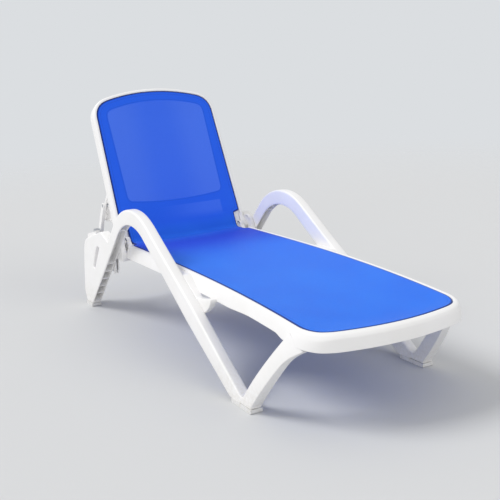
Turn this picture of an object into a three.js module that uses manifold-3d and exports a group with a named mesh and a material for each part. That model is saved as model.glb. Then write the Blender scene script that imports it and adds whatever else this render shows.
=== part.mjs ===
// Sun lounger: moulded resin frame with armrests, a stretched mesh seat and a reclining mesh backrest.
// Millimetres, +Z up, foot end towards -Y, head end towards +Y, X across. The origin is on the ground, at the
// centre of the whole lounger. Stations are measured along the lounger from the seat's two foot-end corners.
import * as THREE from "three";
import { mergeVertices } from "three/addons/utils/BufferGeometryUtils.js";
import Module from "manifold-3d";

const wasm = await Module();
wasm.setup();

// Seat opening and the height of its lip
const seat = { halfWidth: 277, bow: 51, cornerRun: 70, cornerSpan: 78 };
const lip = {
  footHeight: 302.5, riseStation: 350, riseHeight: 326, humpStation: 700, humpHeight: 334.5, hingeHeight: 328,
  width: 9, round: 3,
};

// Rails and apron: a U-section, open underneath
const rail = { wall: 5, depth: 54, innerDepth: 38, footWidth: 25.5, shoulder: 4.5 };
const waist = { depth: 9.5, start: 118, full: 158, ease: 300, end: 470 }; // where the rail's lower edge rises
const apron = { width: 27.5, depth: 55, round: 13, brow: 5, browDrop: 5, joint: 112 };

// Reclining backrest: w runs up the backrest from the hinge axis, n stands out of its front face
const hinge = { station: 1405, height: 330, pinRadius: 6, pinInset: 1 };
const recline = 65; // degrees above flat, as it stands here
const back = { flare: 10, taper: 11, length: 619, bow: 49, cornerRun: 62, cornerSpan: 66 };
const rim = { width: 14, face: 8, chamfer: 6, depth: 50, wall: 4.5, round: 1.5 };
const flange = { width: 44, drop: 10, wall: 5, ribDepth: 30 };
const stile = { start: 22, topRun: 74, webEnd: 60 };
const knuckle = { radius: 15, width: 20 };
const bottomBar = { start: 58, end: 86, top: -15, depth: 24 };
const lowerCrossbar = { start: 128, end: 186, top: -15, depth: 28 };

// Mesh cloth
const cloth = { thickness: 3, recess: 4, seatSag: 10, backSag: 7, neckRun: 62, neckGap: 5, split: 3 };
const sagRun = 90; // the sag builds up over this distance from the ends
const strip = { width: 14, depth: 8, drop: 12 };

// Legs and armrests: one upright plane on each side, clear of the rails
const leg = { clear: 18.5, thickness: 40, bevel: 5 };
const foot = { padHeight: 14, padProud: 2, frontFront: 222, frontRear: 342 };
const strut = { footStation: 328, footHeight: 27, footWidth: 58, wideStation: 640, wideWidth: 76 };
const strutDegrees = 32.1; // the front strut's slope
const rearStrutDegrees = 45; // the rear strut's slope
const arm = { jointStation: 845, jointWidth: 66, frontWidth: 62, topWidth: 60, rearWidth: 54, radius: 246 };
const armPad = {
  front: 534, brow: 288, top: 274, bendStation: 552, bendHeight: 252, tipStation: 584, tipHeight: 228,
  middleStation: 700, middleHeight: 252, rear: 856, rearHeight: 318, high: 328, highStation: 744,
  waistStation: 640, waistHeight: 270, browStation: 596, sink: 14,
};
const frontStrut = {
  footStation: 243, footHeight: 34, bendStation: 152, bendHeight: 150, topStation: 66, topHeight: 266,
  width: 50, footLean: 0, bendLean: 4, topLean: 35, topThickness: 25,
};
const frontFoot = { notchStation: 262, notchHeight: 50, heelHeight: 13, shinStation: 232, toeHeight: 30 };
const rearStrut = { height: 77.5, width: 54 };
const rearLeg = {
  railHeight: 374, cornerHeight: 304, kneeHeight: 60, middleHeight: 180, toeHeight: 22,
  cornerInset: 25, cornerRound: 44, middleBulge: 3, kneeBulge: 23,
};
const rearSlot = { frontHeight: 300, rearHeight: 296, lowHeight: 198, toeHeight: 190 };
const channel = { wall: 5, depth: 36, ribs: 6, ribThickness: 5, start: 34, end: 388 };

// Crossbars
const crossbar = { width: 34, depth: 26, wall: 4, drop: 25, footStation: 330, middleStation: 850 };
const hingeBar = { low: 262, high: 290 };
const headBar = { low: 216, high: 254 };

// Hinge brackets: forks on the ends of the rails
const bracket = { cheek: 18.5, low: 262, baseHigh: 298, radius: 44 };
const bracketArc = { start: -40, end: 170 }; // degrees

// Prop behind the backrest
const prop = { w: 188, n: -72, length: 130, clear: 2.5, thickness: 14.5, width: 22, rodRadius: 7, toeReach: 22 };
const propStanding = -125.8; // degrees from the backrest to the prop as it stands here
const propFolded = 24; // the same with the backrest flat
const lug = {
  thickness: 8, low: 112, high: 236, lowDepth: -76, highDepth: -58, tipLow: 154, tipHigh: 180, tip: -176, top: -16,
};
const rack = { inset: 3, thickness: 20, notchRadius: 8, notchDrop: 3 };
const rackAngles = { standing: 65, lowest: 44 }; // degrees of recline that the rack holds
const rackNotchAngles = [56, 48, 40];
const guide = { thickness: 15, low: 190, tipRise: 24, notchRise: 16, tipLength: 9, slotWall: 4 };

// How far behind the hinge axis the pieces round it stand
const behind = {
  railEnd: -60, armJoint: -20, bracketRear: 4, barFront: -53, barRear: -19, guideFront: 28, guideTip: 44,
  guideNotch: 64, legRail: 75, guideRear: 104, slotFront: 110, slotRear: 146, rackFront: 187, slotToe: 190,
  slotLow: 206, strut: 227, footFront: 262, headFront: 279, rackRear: 297, headRear: 313, footRear: 332,
};
const rear = Object.fromEntries(Object.entries(behind).map(([name, run]) => [name, hinge.station + run]));

// Clearances
const gap = 0.3; // between pieces that touch
const running = 0.5; // round a pin that turns
const overrun = 4; // a cut runs past a face by this
const cornerRadius = 10; // of the legs' outlines

// Distances across, from the middle outwards
const railOuter = seat.halfWidth + rail.footWidth;
const legInner = railOuter + leg.clear;
const legOuter = legInner + leg.thickness;
const legMiddle = legInner + leg.thickness / 2;
const backHalfFoot = seat.halfWidth + back.flare;
const knuckleOuter = backHalfFoot + rim.width;
const knuckleInner = knuckleOuter - knuckle.width;
const bracketInner = knuckleInner - running - bracket.cheek;
const neckHalf = bracketInner - cloth.neckGap;
const propInner = knuckleOuter + prop.clear;
const propOuter = propInner + prop.thickness;
const rackInner = legInner + rack.inset;
const stileJoint = back.length - stile.topRun;
const cornerStation = rear.footRear - rearLeg.cornerInset;

const radians = THREE.MathUtils.degToRad;

// Materials
const whiteResin = { color: 0xf5f6f7, roughness: 0.45, metalness: 0 };
const greyResin = { color: 0xd9dadb, roughness: 0.6, metalness: 0 };
const blueMesh = { color: 0x3f7df0, roughness: 0.85, metalness: 0 };
const steel = { color: 0xb9bdc2, roughness: 0.35, metalness: 1 };

// Turns a closed geometry into a solid whose shared vertices are merged and whose faces point out.
function solidOf(geometry) {
  const bare = new THREE.BufferGeometry();
  const loose = geometry.index ? geometry.toNonIndexed() : geometry;
  bare.setAttribute("position", loose.getAttribute("position").clone());
  const merged = mergeVertices(bare);
  const position = merged.attributes.position.array;
  const triVerts = new Uint32Array(merged.index.array);
  if (signedVolume(position, triVerts) < 0) {
    for (let i = 0; i < triVerts.length; i += 3) {
      [triVerts[i + 1], triVerts[i + 2]] = [triVerts[i + 2], triVerts[i + 1]];
    }
  }
  return new wasm.Manifold(new wasm.Mesh({ numProp: 3, vertProperties: position, triVerts }));
}

function signedVolume(position, index) {
  const corner = [new THREE.Vector3(), new THREE.Vector3(), new THREE.Vector3()];
  let total = 0;
  for (let i = 0; i < index.length; i += 3) {
    corner.forEach((v, k) => v.fromArray(position, index[i + k] * 3));
    total += corner[0].dot(corner[1].clone().cross(corner[2]));
  }
  return total;
}

function geometryOf(solid) {
  const mesh = solid.getMesh();
  const position = new Float32Array(mesh.numVert * 3);
  for (let i = 0; i < mesh.numVert; i++) {
    const start = i * mesh.numProp;
    position.set(mesh.vertProperties.subarray(start, start + 3), i * 3);
  }
  const geometry = new THREE.BufferGeometry();
  geometry.setAttribute("position", new THREE.BufferAttribute(position, 3));
  geometry.setIndex(new THREE.BufferAttribute(new Uint32Array(mesh.triVerts), 1));
  return geometry;
}

const join = (...geometries) => geometryOf(geometries.map(solidOf).reduce((a, b) => a.add(b)));
const cut = (geometry, ...tools) => geometryOf(tools.map(solidOf).reduce((a, b) => a.subtract(b), solidOf(geometry)));

// Joins the same outline at many places into one closed skin. The outline's own plane is triangulated for the ends.
function loft(sections, outline) {
  const count = outline.length;
  const faces = THREE.ShapeUtils.triangulateShape(outline, []);
  const ends = THREE.ShapeUtils.isClockWise(outline) ? faces.map(([a, b, c]) => [a, c, b]) : faces;
  const position = sections.flat().flatMap((p) => p.toArray());
  const index = [];
  for (let i = 0; i + 1 < sections.length; i++) {
    for (let k = 0; k < count; k++) {
      const a = i * count + k;
      const b = i * count + ((k + 1) % count);
      index.push(a, b, b + count, a, b + count, a + count);
    }
  }
  const last = (sections.length - 1) * count;
  ends.forEach(([a, b, c]) => index.push(a, c, b, a + last, b + last, c + last));
  const geometry = new THREE.BufferGeometry();
  geometry.setAttribute("position", new THREE.Float32BufferAttribute(position, 3));
  geometry.setIndex(index);
  return geometryOf(solidOf(geometry));
}

// A box between two corners, each given as across, station and height.
function block([x0, s0, z0], [x1, s1, z1]) {
  const box = new THREE.BoxGeometry(Math.abs(x1 - x0), Math.abs(s1 - s0), Math.abs(z1 - z0));
  return box.translate((x0 + x1) / 2, (s0 + s1) / 2, (z0 + z1) / 2);
}

// A round bar across the lounger.
function bar(radius, x0, x1, station, height, sides = 24) {
  const cylinder = new THREE.CylinderGeometry(radius, radius, Math.abs(x1 - x0), sides);
  return cylinder.rotateZ(Math.PI / 2).translate((x0 + x1) / 2, station, height);
}

// A closed outline with each corner rounded by the radius given as its third number.
function roundedShape(points) {
  const shape = new THREE.Shape();
  const at = points.map(([s, z]) => new THREE.Vector2(s, z));
  points.forEach(([, , radius = 0], i) => {
    const here = at[i];
    const before = at[(i + at.length - 1) % at.length];
    const after = at[(i + 1) % at.length];
    const reach = Math.min(radius, here.distanceTo(before) / 2.1, here.distanceTo(after) / 2.1);
    const from = here.clone().add(before.clone().sub(here).setLength(reach));
    const to = here.clone().add(after.clone().sub(here).setLength(reach));
    if (i === 0) shape.moveTo(from.x, from.y);
    else shape.lineTo(from.x, from.y);
    if (reach > 0) shape.quadraticCurveTo(here.x, here.y, to.x, to.y);
  });
  shape.closePath();
  return shape;
}

// A plate whose outline is drawn in station and height, standing across X from inner to outer.
function plate(points, inner, outer, bevel = 0, holes = []) {
  const shape = roundedShape(points);
  shape.holes = holes.map((hole) => roundedShape(hole));
  const geometry = new THREE.ExtrudeGeometry(shape, {
    depth: outer - inner - 2 * bevel,
    bevelEnabled: bevel > 0,
    bevelThickness: bevel,
    bevelSize: bevel,
    bevelOffset: -bevel,
    bevelSegments: 2,
    curveSegments: 4,
  });
  const turned = new THREE.Matrix4().set(0, 0, 1, inner + bevel, 1, 0, 0, 0, 0, 1, 0, 0, 0, 0, 0, 1);
  return geometry.applyMatrix4(turned);
}

const linear = (from, to, steps) => Array.from({ length: steps + 1 }, (_, i) => from + ((to - from) * i) / steps);

// The height of the moulded lip at a station: a shallow hump through four given heights.
function lipHeight(station) {
  const at = [0, lip.riseStation, lip.humpStation, hinge.station];
  const share = (i) => at.reduce((part, s, k) => (k === i ? part : (part * (station - s)) / (at[i] - s)), 1);
  return [lip.footHeight, lip.riseHeight, lip.humpHeight, lip.hingeHeight].reduce((h, v, i) => h + v * share(i), 0);
}

// How far the rail's lower edge rises at a station
function waistRise(station) {
  const { smoothstep } = THREE.MathUtils;
  return waist.depth * (smoothstep(station, waist.start, waist.full) - smoothstep(station, waist.ease, waist.end));
}

// One bowed end in plan. Across is x, along is the distance from the corner line, away from the bow.
// It gives the +X half: down the side, round the corner and to the middle of the bow.
function bowedEnd({ halfWidthAt, bow, cornerRun, cornerSpan }, sides) {
  const endHalf = halfWidthAt(0);
  const slope = (x) => (2 * bow * x) / endHalf ** 2;
  const along = (x) => -bow * (1 - (x / endHalf) ** 2);
  const turnX = endHalf - cornerSpan;
  const taper = (halfWidthAt(cornerRun) - endHalf) / cornerRun;
  const kneeX =
    (endHalf + taper * (along(turnX) - slope(turnX) * turnX)) / (1 - taper * slope(turnX));
  const corner = new THREE.QuadraticBezierCurve(
    new THREE.Vector2(halfWidthAt(cornerRun), cornerRun),
    new THREE.Vector2(kneeX, along(turnX) + slope(turnX) * (kneeX - turnX)),
    new THREE.Vector2(turnX, along(turnX)),
  );
  const side = sides.map((d) => ({ x: halfWidthAt(d), along: d, turn: 0 }));
  const round = corner.getPoints(6).map((p, i) => ({ x: p.x, along: p.y, turn: i / 6 }));
  const middle = linear(turnX, 0, 6).map((x) => ({ x, along: along(x), turn: 1 }));
  return [...side, ...round.slice(1), ...middle.slice(1)];
}

// Adds to each point of a path its outward normal, found from its neighbours.
function withNormals(path) {
  return path.map((p, i) => {
    const a = path[Math.max(i - 1, 0)];
    const b = path[Math.min(i + 1, path.length - 1)];
    const run = new THREE.Vector2(b.x - a.x, b.along - a.along).normalize();
    return { ...p, nx: -run.y, ny: run.x };
  });
}

const mirrorPath = (half) => [...half, ...half.slice(0, -1).reverse().map((p) => ({ ...p, x: -p.x }))];

// The two profiles are written as outward distance and height from the lip's top inner edge.
const railProfile = [
  [0, -rail.innerDepth],
  [0, -lip.round],
  [lip.round, 0],
  [lip.width, 0],
  [lip.width + rail.shoulder, -lip.round],
  [rail.footWidth - rail.shoulder, -rail.depth / 2],
  [rail.footWidth, -rail.depth],
  [rail.footWidth - rail.wall, -rail.depth],
  [lip.width + lip.round, -lip.round - rail.wall],
  [rail.wall, -lip.round - rail.wall],
  [rail.wall, -rail.innerDepth],
].map(([o, h]) => new THREE.Vector2(o, h));
const apronProfile = [
  [0, -rail.innerDepth],
  [0, -lip.round],
  [lip.round, 0],
  [lip.width + lip.round, -lip.round / 2],
  [apron.width - apron.brow, -apron.browDrop],
  [apron.width, -apron.round],
  [apron.width, -apron.depth],
  [apron.width - rail.wall, -apron.depth],
  [apron.width - rail.wall, -apron.round],
  [rail.wall, -lip.round - rail.wall],
  [rail.wall, -rail.innerDepth],
].map(([o, h]) => new THREE.Vector2(o, h));
const lowerEdge = [6, 7]; // these two points of the profiles follow the waist
function blendProfile(turn, station) {
  const points = railProfile.map((p, i) => p.clone().lerp(apronProfile[i], turn));
  lowerEdge.forEach((i) => (points[i].y += waistRise(station)));
  return points;
}

const seatPlan = { ...seat, halfWidthAt: () => seat.halfWidth };
const seatPoint = (p, o, h) =>
  new THREE.Vector3(p.x + o * p.nx, p.along + o * p.ny, lipHeight(Math.max(p.along, 0)) + h);
const seatSweep = (path, profileAt) =>
  loft(
    path.map((p) => profileAt(p.turn, p.along).map((v) => seatPoint(p, v.x, v.y))),
    profileAt(0, 0),
  );

const sideStations = [
  ...linear(rear.railEnd, waist.end, 6),
  ...linear(waist.end, waist.ease, 4).slice(1),
  ...linear(waist.ease, waist.full, 2).slice(1),
  ...linear(waist.full, apron.joint, 4).slice(1),
];
const seatSide = sideStations.map((along) => ({ x: seat.halfWidth, along, turn: 0, nx: 1, ny: 0 }));
const seatEnd = withNormals(mirrorPath(bowedEnd(seatPlan, [apron.joint - gap, seat.cornerRun])));
const seatWhole = withNormals(
  mirrorPath(bowedEnd(seatPlan, [rear.railEnd + gap, ...sideStations, seat.cornerRun])),
);

// The space that the rails and the apron take up, with its gap: what lies outside is cut back to it.
const railEnvelope = seatSweep(seatWhole, (turn, station) => {
  const face = blendProfile(turn, station);
  return [
    new THREE.Vector2(-gap, rail.depth),
    new THREE.Vector2(-gap, face[6].y - gap),
    new THREE.Vector2(face[6].x + gap, face[6].y - gap),
    new THREE.Vector2(face[5].x + gap, face[5].y),
    new THREE.Vector2(face[4].x + gap, face[4].y),
    new THREE.Vector2(face[4].x + gap, rail.depth),
  ];
});

const sideRail = () => seatSweep(seatSide, blendProfile);
const footApron = () => seatSweep(seatEnd, blendProfile);

function clothStrip(path) {
  const profile = [
    new THREE.Vector2(-strip.width, -strip.drop - strip.depth),
    new THREE.Vector2(-gap, -strip.drop - strip.depth),
    new THREE.Vector2(-gap, -strip.drop),
    new THREE.Vector2(-strip.width, -strip.drop),
  ];
  return seatSweep(path, () => profile);
}

// A thin sheet from a grid of points: rows run along the lounger, each row goes across.
function sheet(rows, thickness, down) {
  const across = rows[0].length;
  const position = [];
  rows.flat().forEach((p) => position.push(...p.toArray()));
  rows.flat().forEach((p) => position.push(...p.clone().addScaledVector(down, thickness).toArray()));
  const under = rows.length * across;
  const index = [];
  const quad = (a, b, c, d) => index.push(a, b, c, a, c, d);
  for (let r = 0; r + 1 < rows.length; r++) {
    for (let k = 0; k + 1 < across; k++) {
      const a = r * across + k;
      quad(a, a + 1, a + 1 + across, a + across);
      quad(a + under, a + across + under, a + across + 1 + under, a + 1 + under);
    }
    const [left, right] = [r * across, r * across + across - 1];
    quad(left, left + across, left + across + under, left + under);
    quad(right + across, right, right + under, right + across + under);
  }
  const last = under - across;
  for (let k = 0; k + 1 < across; k++) {
    quad(k + 1, k, k + under, k + 1 + under);
    quad(last + k, last + k + 1, last + k + 1 + under, last + k + under);
  }
  const geometry = new THREE.BufferGeometry();
  geometry.setAttribute("position", new THREE.Float32BufferAttribute(position, 3));
  geometry.setIndex(index);
  return geometryOf(solidOf(geometry));
}

// The cloth's rows: the first follows the bowed end, the next straighten out, the last ones are the narrow neck.
function clothRows(plan, endAlong, pointAt) {
  const edge = mirrorPath(bowedEnd(plan, [plan.cornerRun])).filter((_, i) => i % 2 === 0);
  const straight = plan.cornerRun * 2;
  const neck = endAlong - cloth.neckRun + cloth.split;
  const rows = linear(0, 1, 3).map((t) =>
    edge.map((p) => [p.x, p.along + (straight - p.along) * t, plan.halfWidthAt(0)]),
  );
  linear(straight, neck, 11)
    .slice(1)
    .forEach((d) => rows.push(edge.map((p) => [(p.x * plan.halfWidthAt(d)) / edge[0].x, d])));
  [neck + cloth.split, endAlong].forEach((d) =>
    rows.push(edge.map((p) => [(p.x * neckHalf) / edge[0].x, d])),
  );
  const shrink = (x) => x * (1 - gap / edge[0].x);
  return rows.map((row) => row.map(([x, d]) => pointAt(shrink(x), d)));
}

// How far the cloth hangs at a point: nothing over the border, the full sag in the middle
function sagAt(x, along, halfWidth, bow, border, sag) {
  const across = Math.max(0, 1 - (x / (halfWidth - border)) ** 2);
  const fromEnd = along + bow * (1 - (x / halfWidth) ** 2) - border;
  return sag * across * THREE.MathUtils.clamp(fromEnd / sagRun, 0, 1);
}

function seatCloth() {
  const inset = { ...seatPlan, bow: seat.bow - gap, cornerRun: seat.cornerRun, cornerSpan: seat.cornerSpan };
  const rows = clothRows(inset, hinge.station - cloth.split, (x, s) => {
    const sag = sagAt(x, s, seat.halfWidth, seat.bow, strip.width, cloth.seatSag);
    return new THREE.Vector3(x, s + gap, lipHeight(Math.max(s, 0)) - cloth.recess - sag);
  });
  return sheet(rows, cloth.thickness, new THREE.Vector3(0, 0, -1));
}

// Beams between the side rails, under the seat cloth
function hollowBeam(reach, [frontEdge, rearEdge], [low, high]) {
  const beam = block([-reach, frontEdge, low], [reach, rearEdge, high]);
  const hollow = block(
    [crossbar.wall - reach, frontEdge + crossbar.wall, low - overrun],
    [reach - crossbar.wall, rearEdge - crossbar.wall, high - crossbar.wall],
  );
  return cut(beam, hollow);
}

function seatCrossbar(station) {
  const top = lipHeight(station) - crossbar.drop;
  const half = crossbar.width / 2;
  return hollowBeam(seat.halfWidth - gap, [station - half, station + half], [top - crossbar.depth, top]);
}


const hingeCrossbar = () =>
  hollowBeam(bracketInner - gap, [rear.barFront, rear.barRear], [hingeBar.low, hingeBar.high]);
const headCrossbar = () =>
  hollowBeam(legInner - gap, [rear.headFront, rear.headRear], [headBar.low, headBar.high]);

// The middle line of a strut, and a point beside it
const strutSlope = Math.tan(radians(strutDegrees));
const rearSlope = Math.tan(radians(rearStrutDegrees));
const strutHeight = (s) => strut.footHeight + strutSlope * (s - strut.footStation);
const rearStrutHeight = (s) => rearStrut.height - rearSlope * (s - rear.strut);
function beside(station, side, width, slopeDegrees, heightAt) {
  const angle = radians(slopeDegrees);
  const offset = (side * width) / 2;
  return [station - Math.sin(angle) * offset, heightAt(station) + Math.cos(angle) * offset];
}
const besideStrut = (station, side, width) => beside(station, side, width, strutDegrees, strutHeight);
const besideRear = (station, side, width) => beside(station, side, width, -rearStrutDegrees, rearStrutHeight);

// The armrest's middle line: the front strut's line, an arc and the rear strut's line
function armLine() {
  const meet =
    (rearStrut.height - strut.footHeight + strutSlope * strut.footStation + rearSlope * rear.strut) /
    (strutSlope + rearSlope);
  const half = radians((strutDegrees + rearStrutDegrees) / 2);
  const reach = arm.radius * Math.tan(half);
  const front = meet - reach * Math.cos(radians(strutDegrees));
  const centre = new THREE.Vector2(
    front + arm.radius * Math.sin(radians(strutDegrees)),
    strutHeight(front) - arm.radius * Math.cos(radians(strutDegrees)),
  );
  const arc = linear(strutDegrees, -rearStrutDegrees, 14).map((degrees, i) => {
    const angle = radians(degrees);
    const share = i / 14;
    const ends = share < 0.5 ? arm.frontWidth : arm.rearWidth;
    return {
      middle: centre.clone().add(new THREE.Vector2(-Math.sin(angle), Math.cos(angle)).multiplyScalar(arm.radius)),
      normal: new THREE.Vector2(-Math.sin(angle), Math.cos(angle)),
      width: arm.topWidth + (ends - arm.topWidth) * Math.abs(2 * share - 1),
    };
  });
  const frontEnd = {
    middle: new THREE.Vector2(arm.jointStation, strutHeight(arm.jointStation)),
    normal: arc[0].normal,
    width: arm.jointWidth,
  };
  const rearEnd = {
    middle: new THREE.Vector2(rear.armJoint, rearStrutHeight(rear.armJoint)),
    normal: arc[14].normal,
    width: rearStrut.width,
  };
  return [frontEnd, ...arc, rearEnd];
}

function armrest() {
  const line = armLine();
  const upper = line.map(({ middle, normal, width }) => middle.clone().addScaledVector(normal, width / 2));
  const lower = line.map(({ middle, normal, width }) => middle.clone().addScaledVector(normal, -width / 2));
  const outline = [...lower, ...upper.reverse()].map((p) => [p.x, p.y]);
  const solid = plate(outline, legInner, legOuter, leg.bevel);
  const pocketLine = line.slice(9);
  const roof = pocketLine.map(({ middle, normal, width }) =>
    middle.clone().addScaledVector(normal, channel.depth - width / 2),
  );
  const mouth = pocketLine.map(({ middle, normal, width }) =>
    middle.clone().addScaledVector(normal, -overrun - width / 2),
  );
  const pocket = [...mouth, ...roof.reverse()].map((p) => [p.x, p.y]);
  return cut(solid, plate(pocket, legInner + channel.wall, legOuter - channel.wall));
}

// A square-edged strut with cut corners that runs along a curve, leans inwards and gets thinner
function leaningStrut(points, thickness, width) {
  const curve = new THREE.QuadraticBezierCurve3(...points);
  const outlineFor = (a) => {
    const [b, c] = [width / 2, leg.bevel];
    return [
      [-a, -b + c], [-a + c, -b], [a - c, -b], [a, -b + c], [a, b - c], [a - c, b], [-a + c, b], [-a, b - c],
    ].map(([x, y]) => new THREE.Vector2(x, y));
  };
  const sections = linear(0, 1, 8).map((t) => {
    const at = curve.getPoint(t);
    const run = curve.getTangent(t);
    const normal = new THREE.Vector3(0, -run.z, run.y).normalize();
    const half = THREE.MathUtils.lerp(thickness[0], thickness[1], t * t) / 2;
    return outlineFor(half).map(
      (v) => new THREE.Vector3(at.x + v.x, at.y + normal.y * v.y, at.z + normal.z * v.y),
    );
  });
  return loft(sections, outlineFor(thickness[0] / 2));
}

function frontLeg() {
  const floor = foot.padHeight + gap;
  const f = frontStrut;
  const outline = [
    [foot.frontFront, floor, leg.bevel],
    [foot.frontRear - leg.bevel, floor, leg.bevel],
    besideStrut(strut.wideStation, -1, strut.wideWidth),
    besideStrut(arm.jointStation - gap, -1, arm.jointWidth),
    besideStrut(arm.jointStation - gap, 1, arm.jointWidth),
    besideStrut(strut.wideStation, 1, strut.wideWidth),
    besideStrut(strut.footStation, 1, strut.footWidth),
    [frontFoot.notchStation + frontFoot.heelHeight, frontFoot.notchHeight - frontFoot.heelHeight, leg.bevel],
    [frontFoot.notchStation, frontFoot.notchHeight],
    [frontFoot.shinStation, frontFoot.notchHeight],
    [foot.frontFront - leg.bevel, frontFoot.toeHeight, leg.bevel],
  ];
  const shin = leaningStrut(
    [
      new THREE.Vector3(legMiddle - f.footLean, f.footStation, f.footHeight),
      new THREE.Vector3(legMiddle - f.bendLean, f.bendStation, f.bendHeight),
      new THREE.Vector3(legMiddle - f.topLean, f.topStation, f.topHeight),
    ],
    [leg.thickness, f.topThickness],
    f.width,
  );
  const ground = block([0, 0, 0], [legOuter + overrun, foot.frontRear, floor]);
  return cut(join(plate(outline, legInner, legOuter, leg.bevel), shin, railPad()), railEnvelope, ground);
}

// The web between the leg and the rail, where the two are fastened
function railPad() {
  const outline = [
    [armPad.front, armPad.brow],
    [armPad.front, armPad.top],
    [armPad.bendStation, armPad.bendHeight],
    [armPad.tipStation, armPad.tipHeight],
    [armPad.middleStation, armPad.middleHeight],
    [armPad.rear, armPad.rearHeight],
    [armPad.rear, armPad.high],
    [armPad.highStation, armPad.high],
    [armPad.waistStation, armPad.waistHeight],
    [armPad.browStation, armPad.brow],
  ];
  return plate(outline, railOuter - armPad.sink, legInner + leg.bevel);
}

// Pockets in the rear leg's front strut, open towards the foot end, with cross ribs between them
function channelPockets() {
  const start = besideRear(rear.armJoint + gap, 0, 0);
  const along = new THREE.Vector2(Math.cos(radians(rearStrutDegrees)), -Math.sin(radians(rearStrutDegrees)));
  const inward = new THREE.Vector2(along.y, -along.x).negate();
  const pitch = (channel.end - channel.start) / channel.ribs;
  return linear(0, channel.ribs - 1, channel.ribs - 1).map((i) => {
    const from = i === 0 ? -overrun : channel.start + i * pitch + channel.ribThickness / 2;
    const to = channel.start + (i + 1) * pitch - channel.ribThickness / 2;
    const corner = (run, depth) => {
      const p = new THREE.Vector2(...start).addScaledVector(along, run);
      p.addScaledVector(inward, depth - rearStrut.width / 2);
      return [p.x, p.y];
    };
    const outline = [corner(from, -overrun), corner(to, -overrun), corner(to, channel.depth), corner(from, channel.depth)];
    return plate(outline, legInner + channel.wall, legOuter - channel.wall);
  });
}

function rearLegFrame() {
  const floor = foot.padHeight + gap;
  const outline = [
    [rear.footFront, floor, leg.bevel],
    [rear.footRear, floor, leg.bevel],
    [rear.footRear + rearLeg.kneeBulge, rearLeg.kneeHeight, cornerRadius],
    [rear.footRear + rearLeg.middleBulge, rearLeg.middleHeight, cornerRadius],
    [cornerStation, rearLeg.cornerHeight, rearLeg.cornerRound],
    [rear.legRail, rearLeg.railHeight, cornerRadius],
    besideRear(rear.armJoint + gap, 1, rearStrut.width),
    besideRear(rear.armJoint + gap, -1, rearStrut.width),
    [rear.footFront - cornerRadius, rearLeg.toeHeight, cornerRadius],
  ];
  const slot = [
    [rear.slotFront, rearSlot.frontHeight, cornerRadius],
    [rear.slotRear, rearSlot.rearHeight, cornerRadius],
    [rear.slotLow, rearSlot.lowHeight, cornerRadius],
    [rear.slotToe, rearSlot.toeHeight, cornerRadius],
  ];
  return cut(plate(outline, legInner, legOuter, leg.bevel, [slot]), ...channelPockets());
}

function footPad(front, rear) {
  const grow = foot.padProud;
  const outline = [
    [front - grow, 0, leg.bevel],
    [rear + grow, 0, leg.bevel],
    [rear + grow, foot.padHeight],
    [front - grow, foot.padHeight],
  ];
  return plate(outline, legInner - grow, legOuter + grow);
}

// A fork that carries the hinge pin: two cheeks and the base that joins them in front of the knuckle
function hingeBracket() {
  const round = linear(bracketArc.start, bracketArc.end, 14).map((degrees) => [
    hinge.station + bracket.radius * Math.cos(radians(degrees)),
    hinge.height + bracket.radius * Math.sin(radians(degrees)),
  ]);
  const cheek = [[rear.railEnd + gap, bracket.low], [rear.bracketRear, bracket.low], ...round, [rear.railEnd + gap, bracket.baseHigh]];
  const inner = plate(cheek, bracketInner, knuckleInner - running);
  const outer = plate(cheek, knuckleOuter + running, legInner - gap);
  const base = block(
    [bracketInner, rear.railEnd + gap, bracket.low],
    [legInner - gap, rear.bracketRear, bracket.baseHigh],
  );
  const hole = bar(hinge.pinRadius + running, bracketInner - overrun, legInner, hinge.station, hinge.height);
  return cut(join(inner, outer, base), hole);
}

function stackingGuide() {
  const top = bracket.low - gap;
  const outline = [
    [rear.guideFront, top],
    [rear.guideFront, guide.low + guide.tipRise],
    [rear.guideTip, guide.low],
    [rear.guideTip + guide.tipLength, guide.low],
    [rear.guideNotch, guide.low + guide.notchRise],
    [rear.guideRear - guide.tipLength, guide.low],
    [rear.guideRear, guide.low],
    [rear.guideRear, top],
  ];
  const outer = legInner - gap;
  const slot = block(
    [outer - guide.thickness + guide.slotWall, rear.guideFront - overrun, guide.low - overrun],
    [outer - guide.slotWall, rear.guideRear - guide.slotWall, top - guide.slotWall],
  );
  return cut(plate(outline, outer - guide.thickness, outer), slot);
}

// Where the prop's toe is when the backrest stands at an angle, in stations and heights
function toeAt(angle) {
  const [c, s] = [Math.cos(radians(angle)), Math.sin(radians(angle))];
  const folded = (recline - angle) / recline;
  const lean = radians(angle + propStanding + (propFolded - propStanding) * folded);
  return new THREE.Vector2(
    hinge.station + prop.w * c - prop.n * s + prop.length * Math.cos(lean),
    hinge.height + prop.w * s + prop.n * c + prop.length * Math.sin(lean),
  );
}

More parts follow.
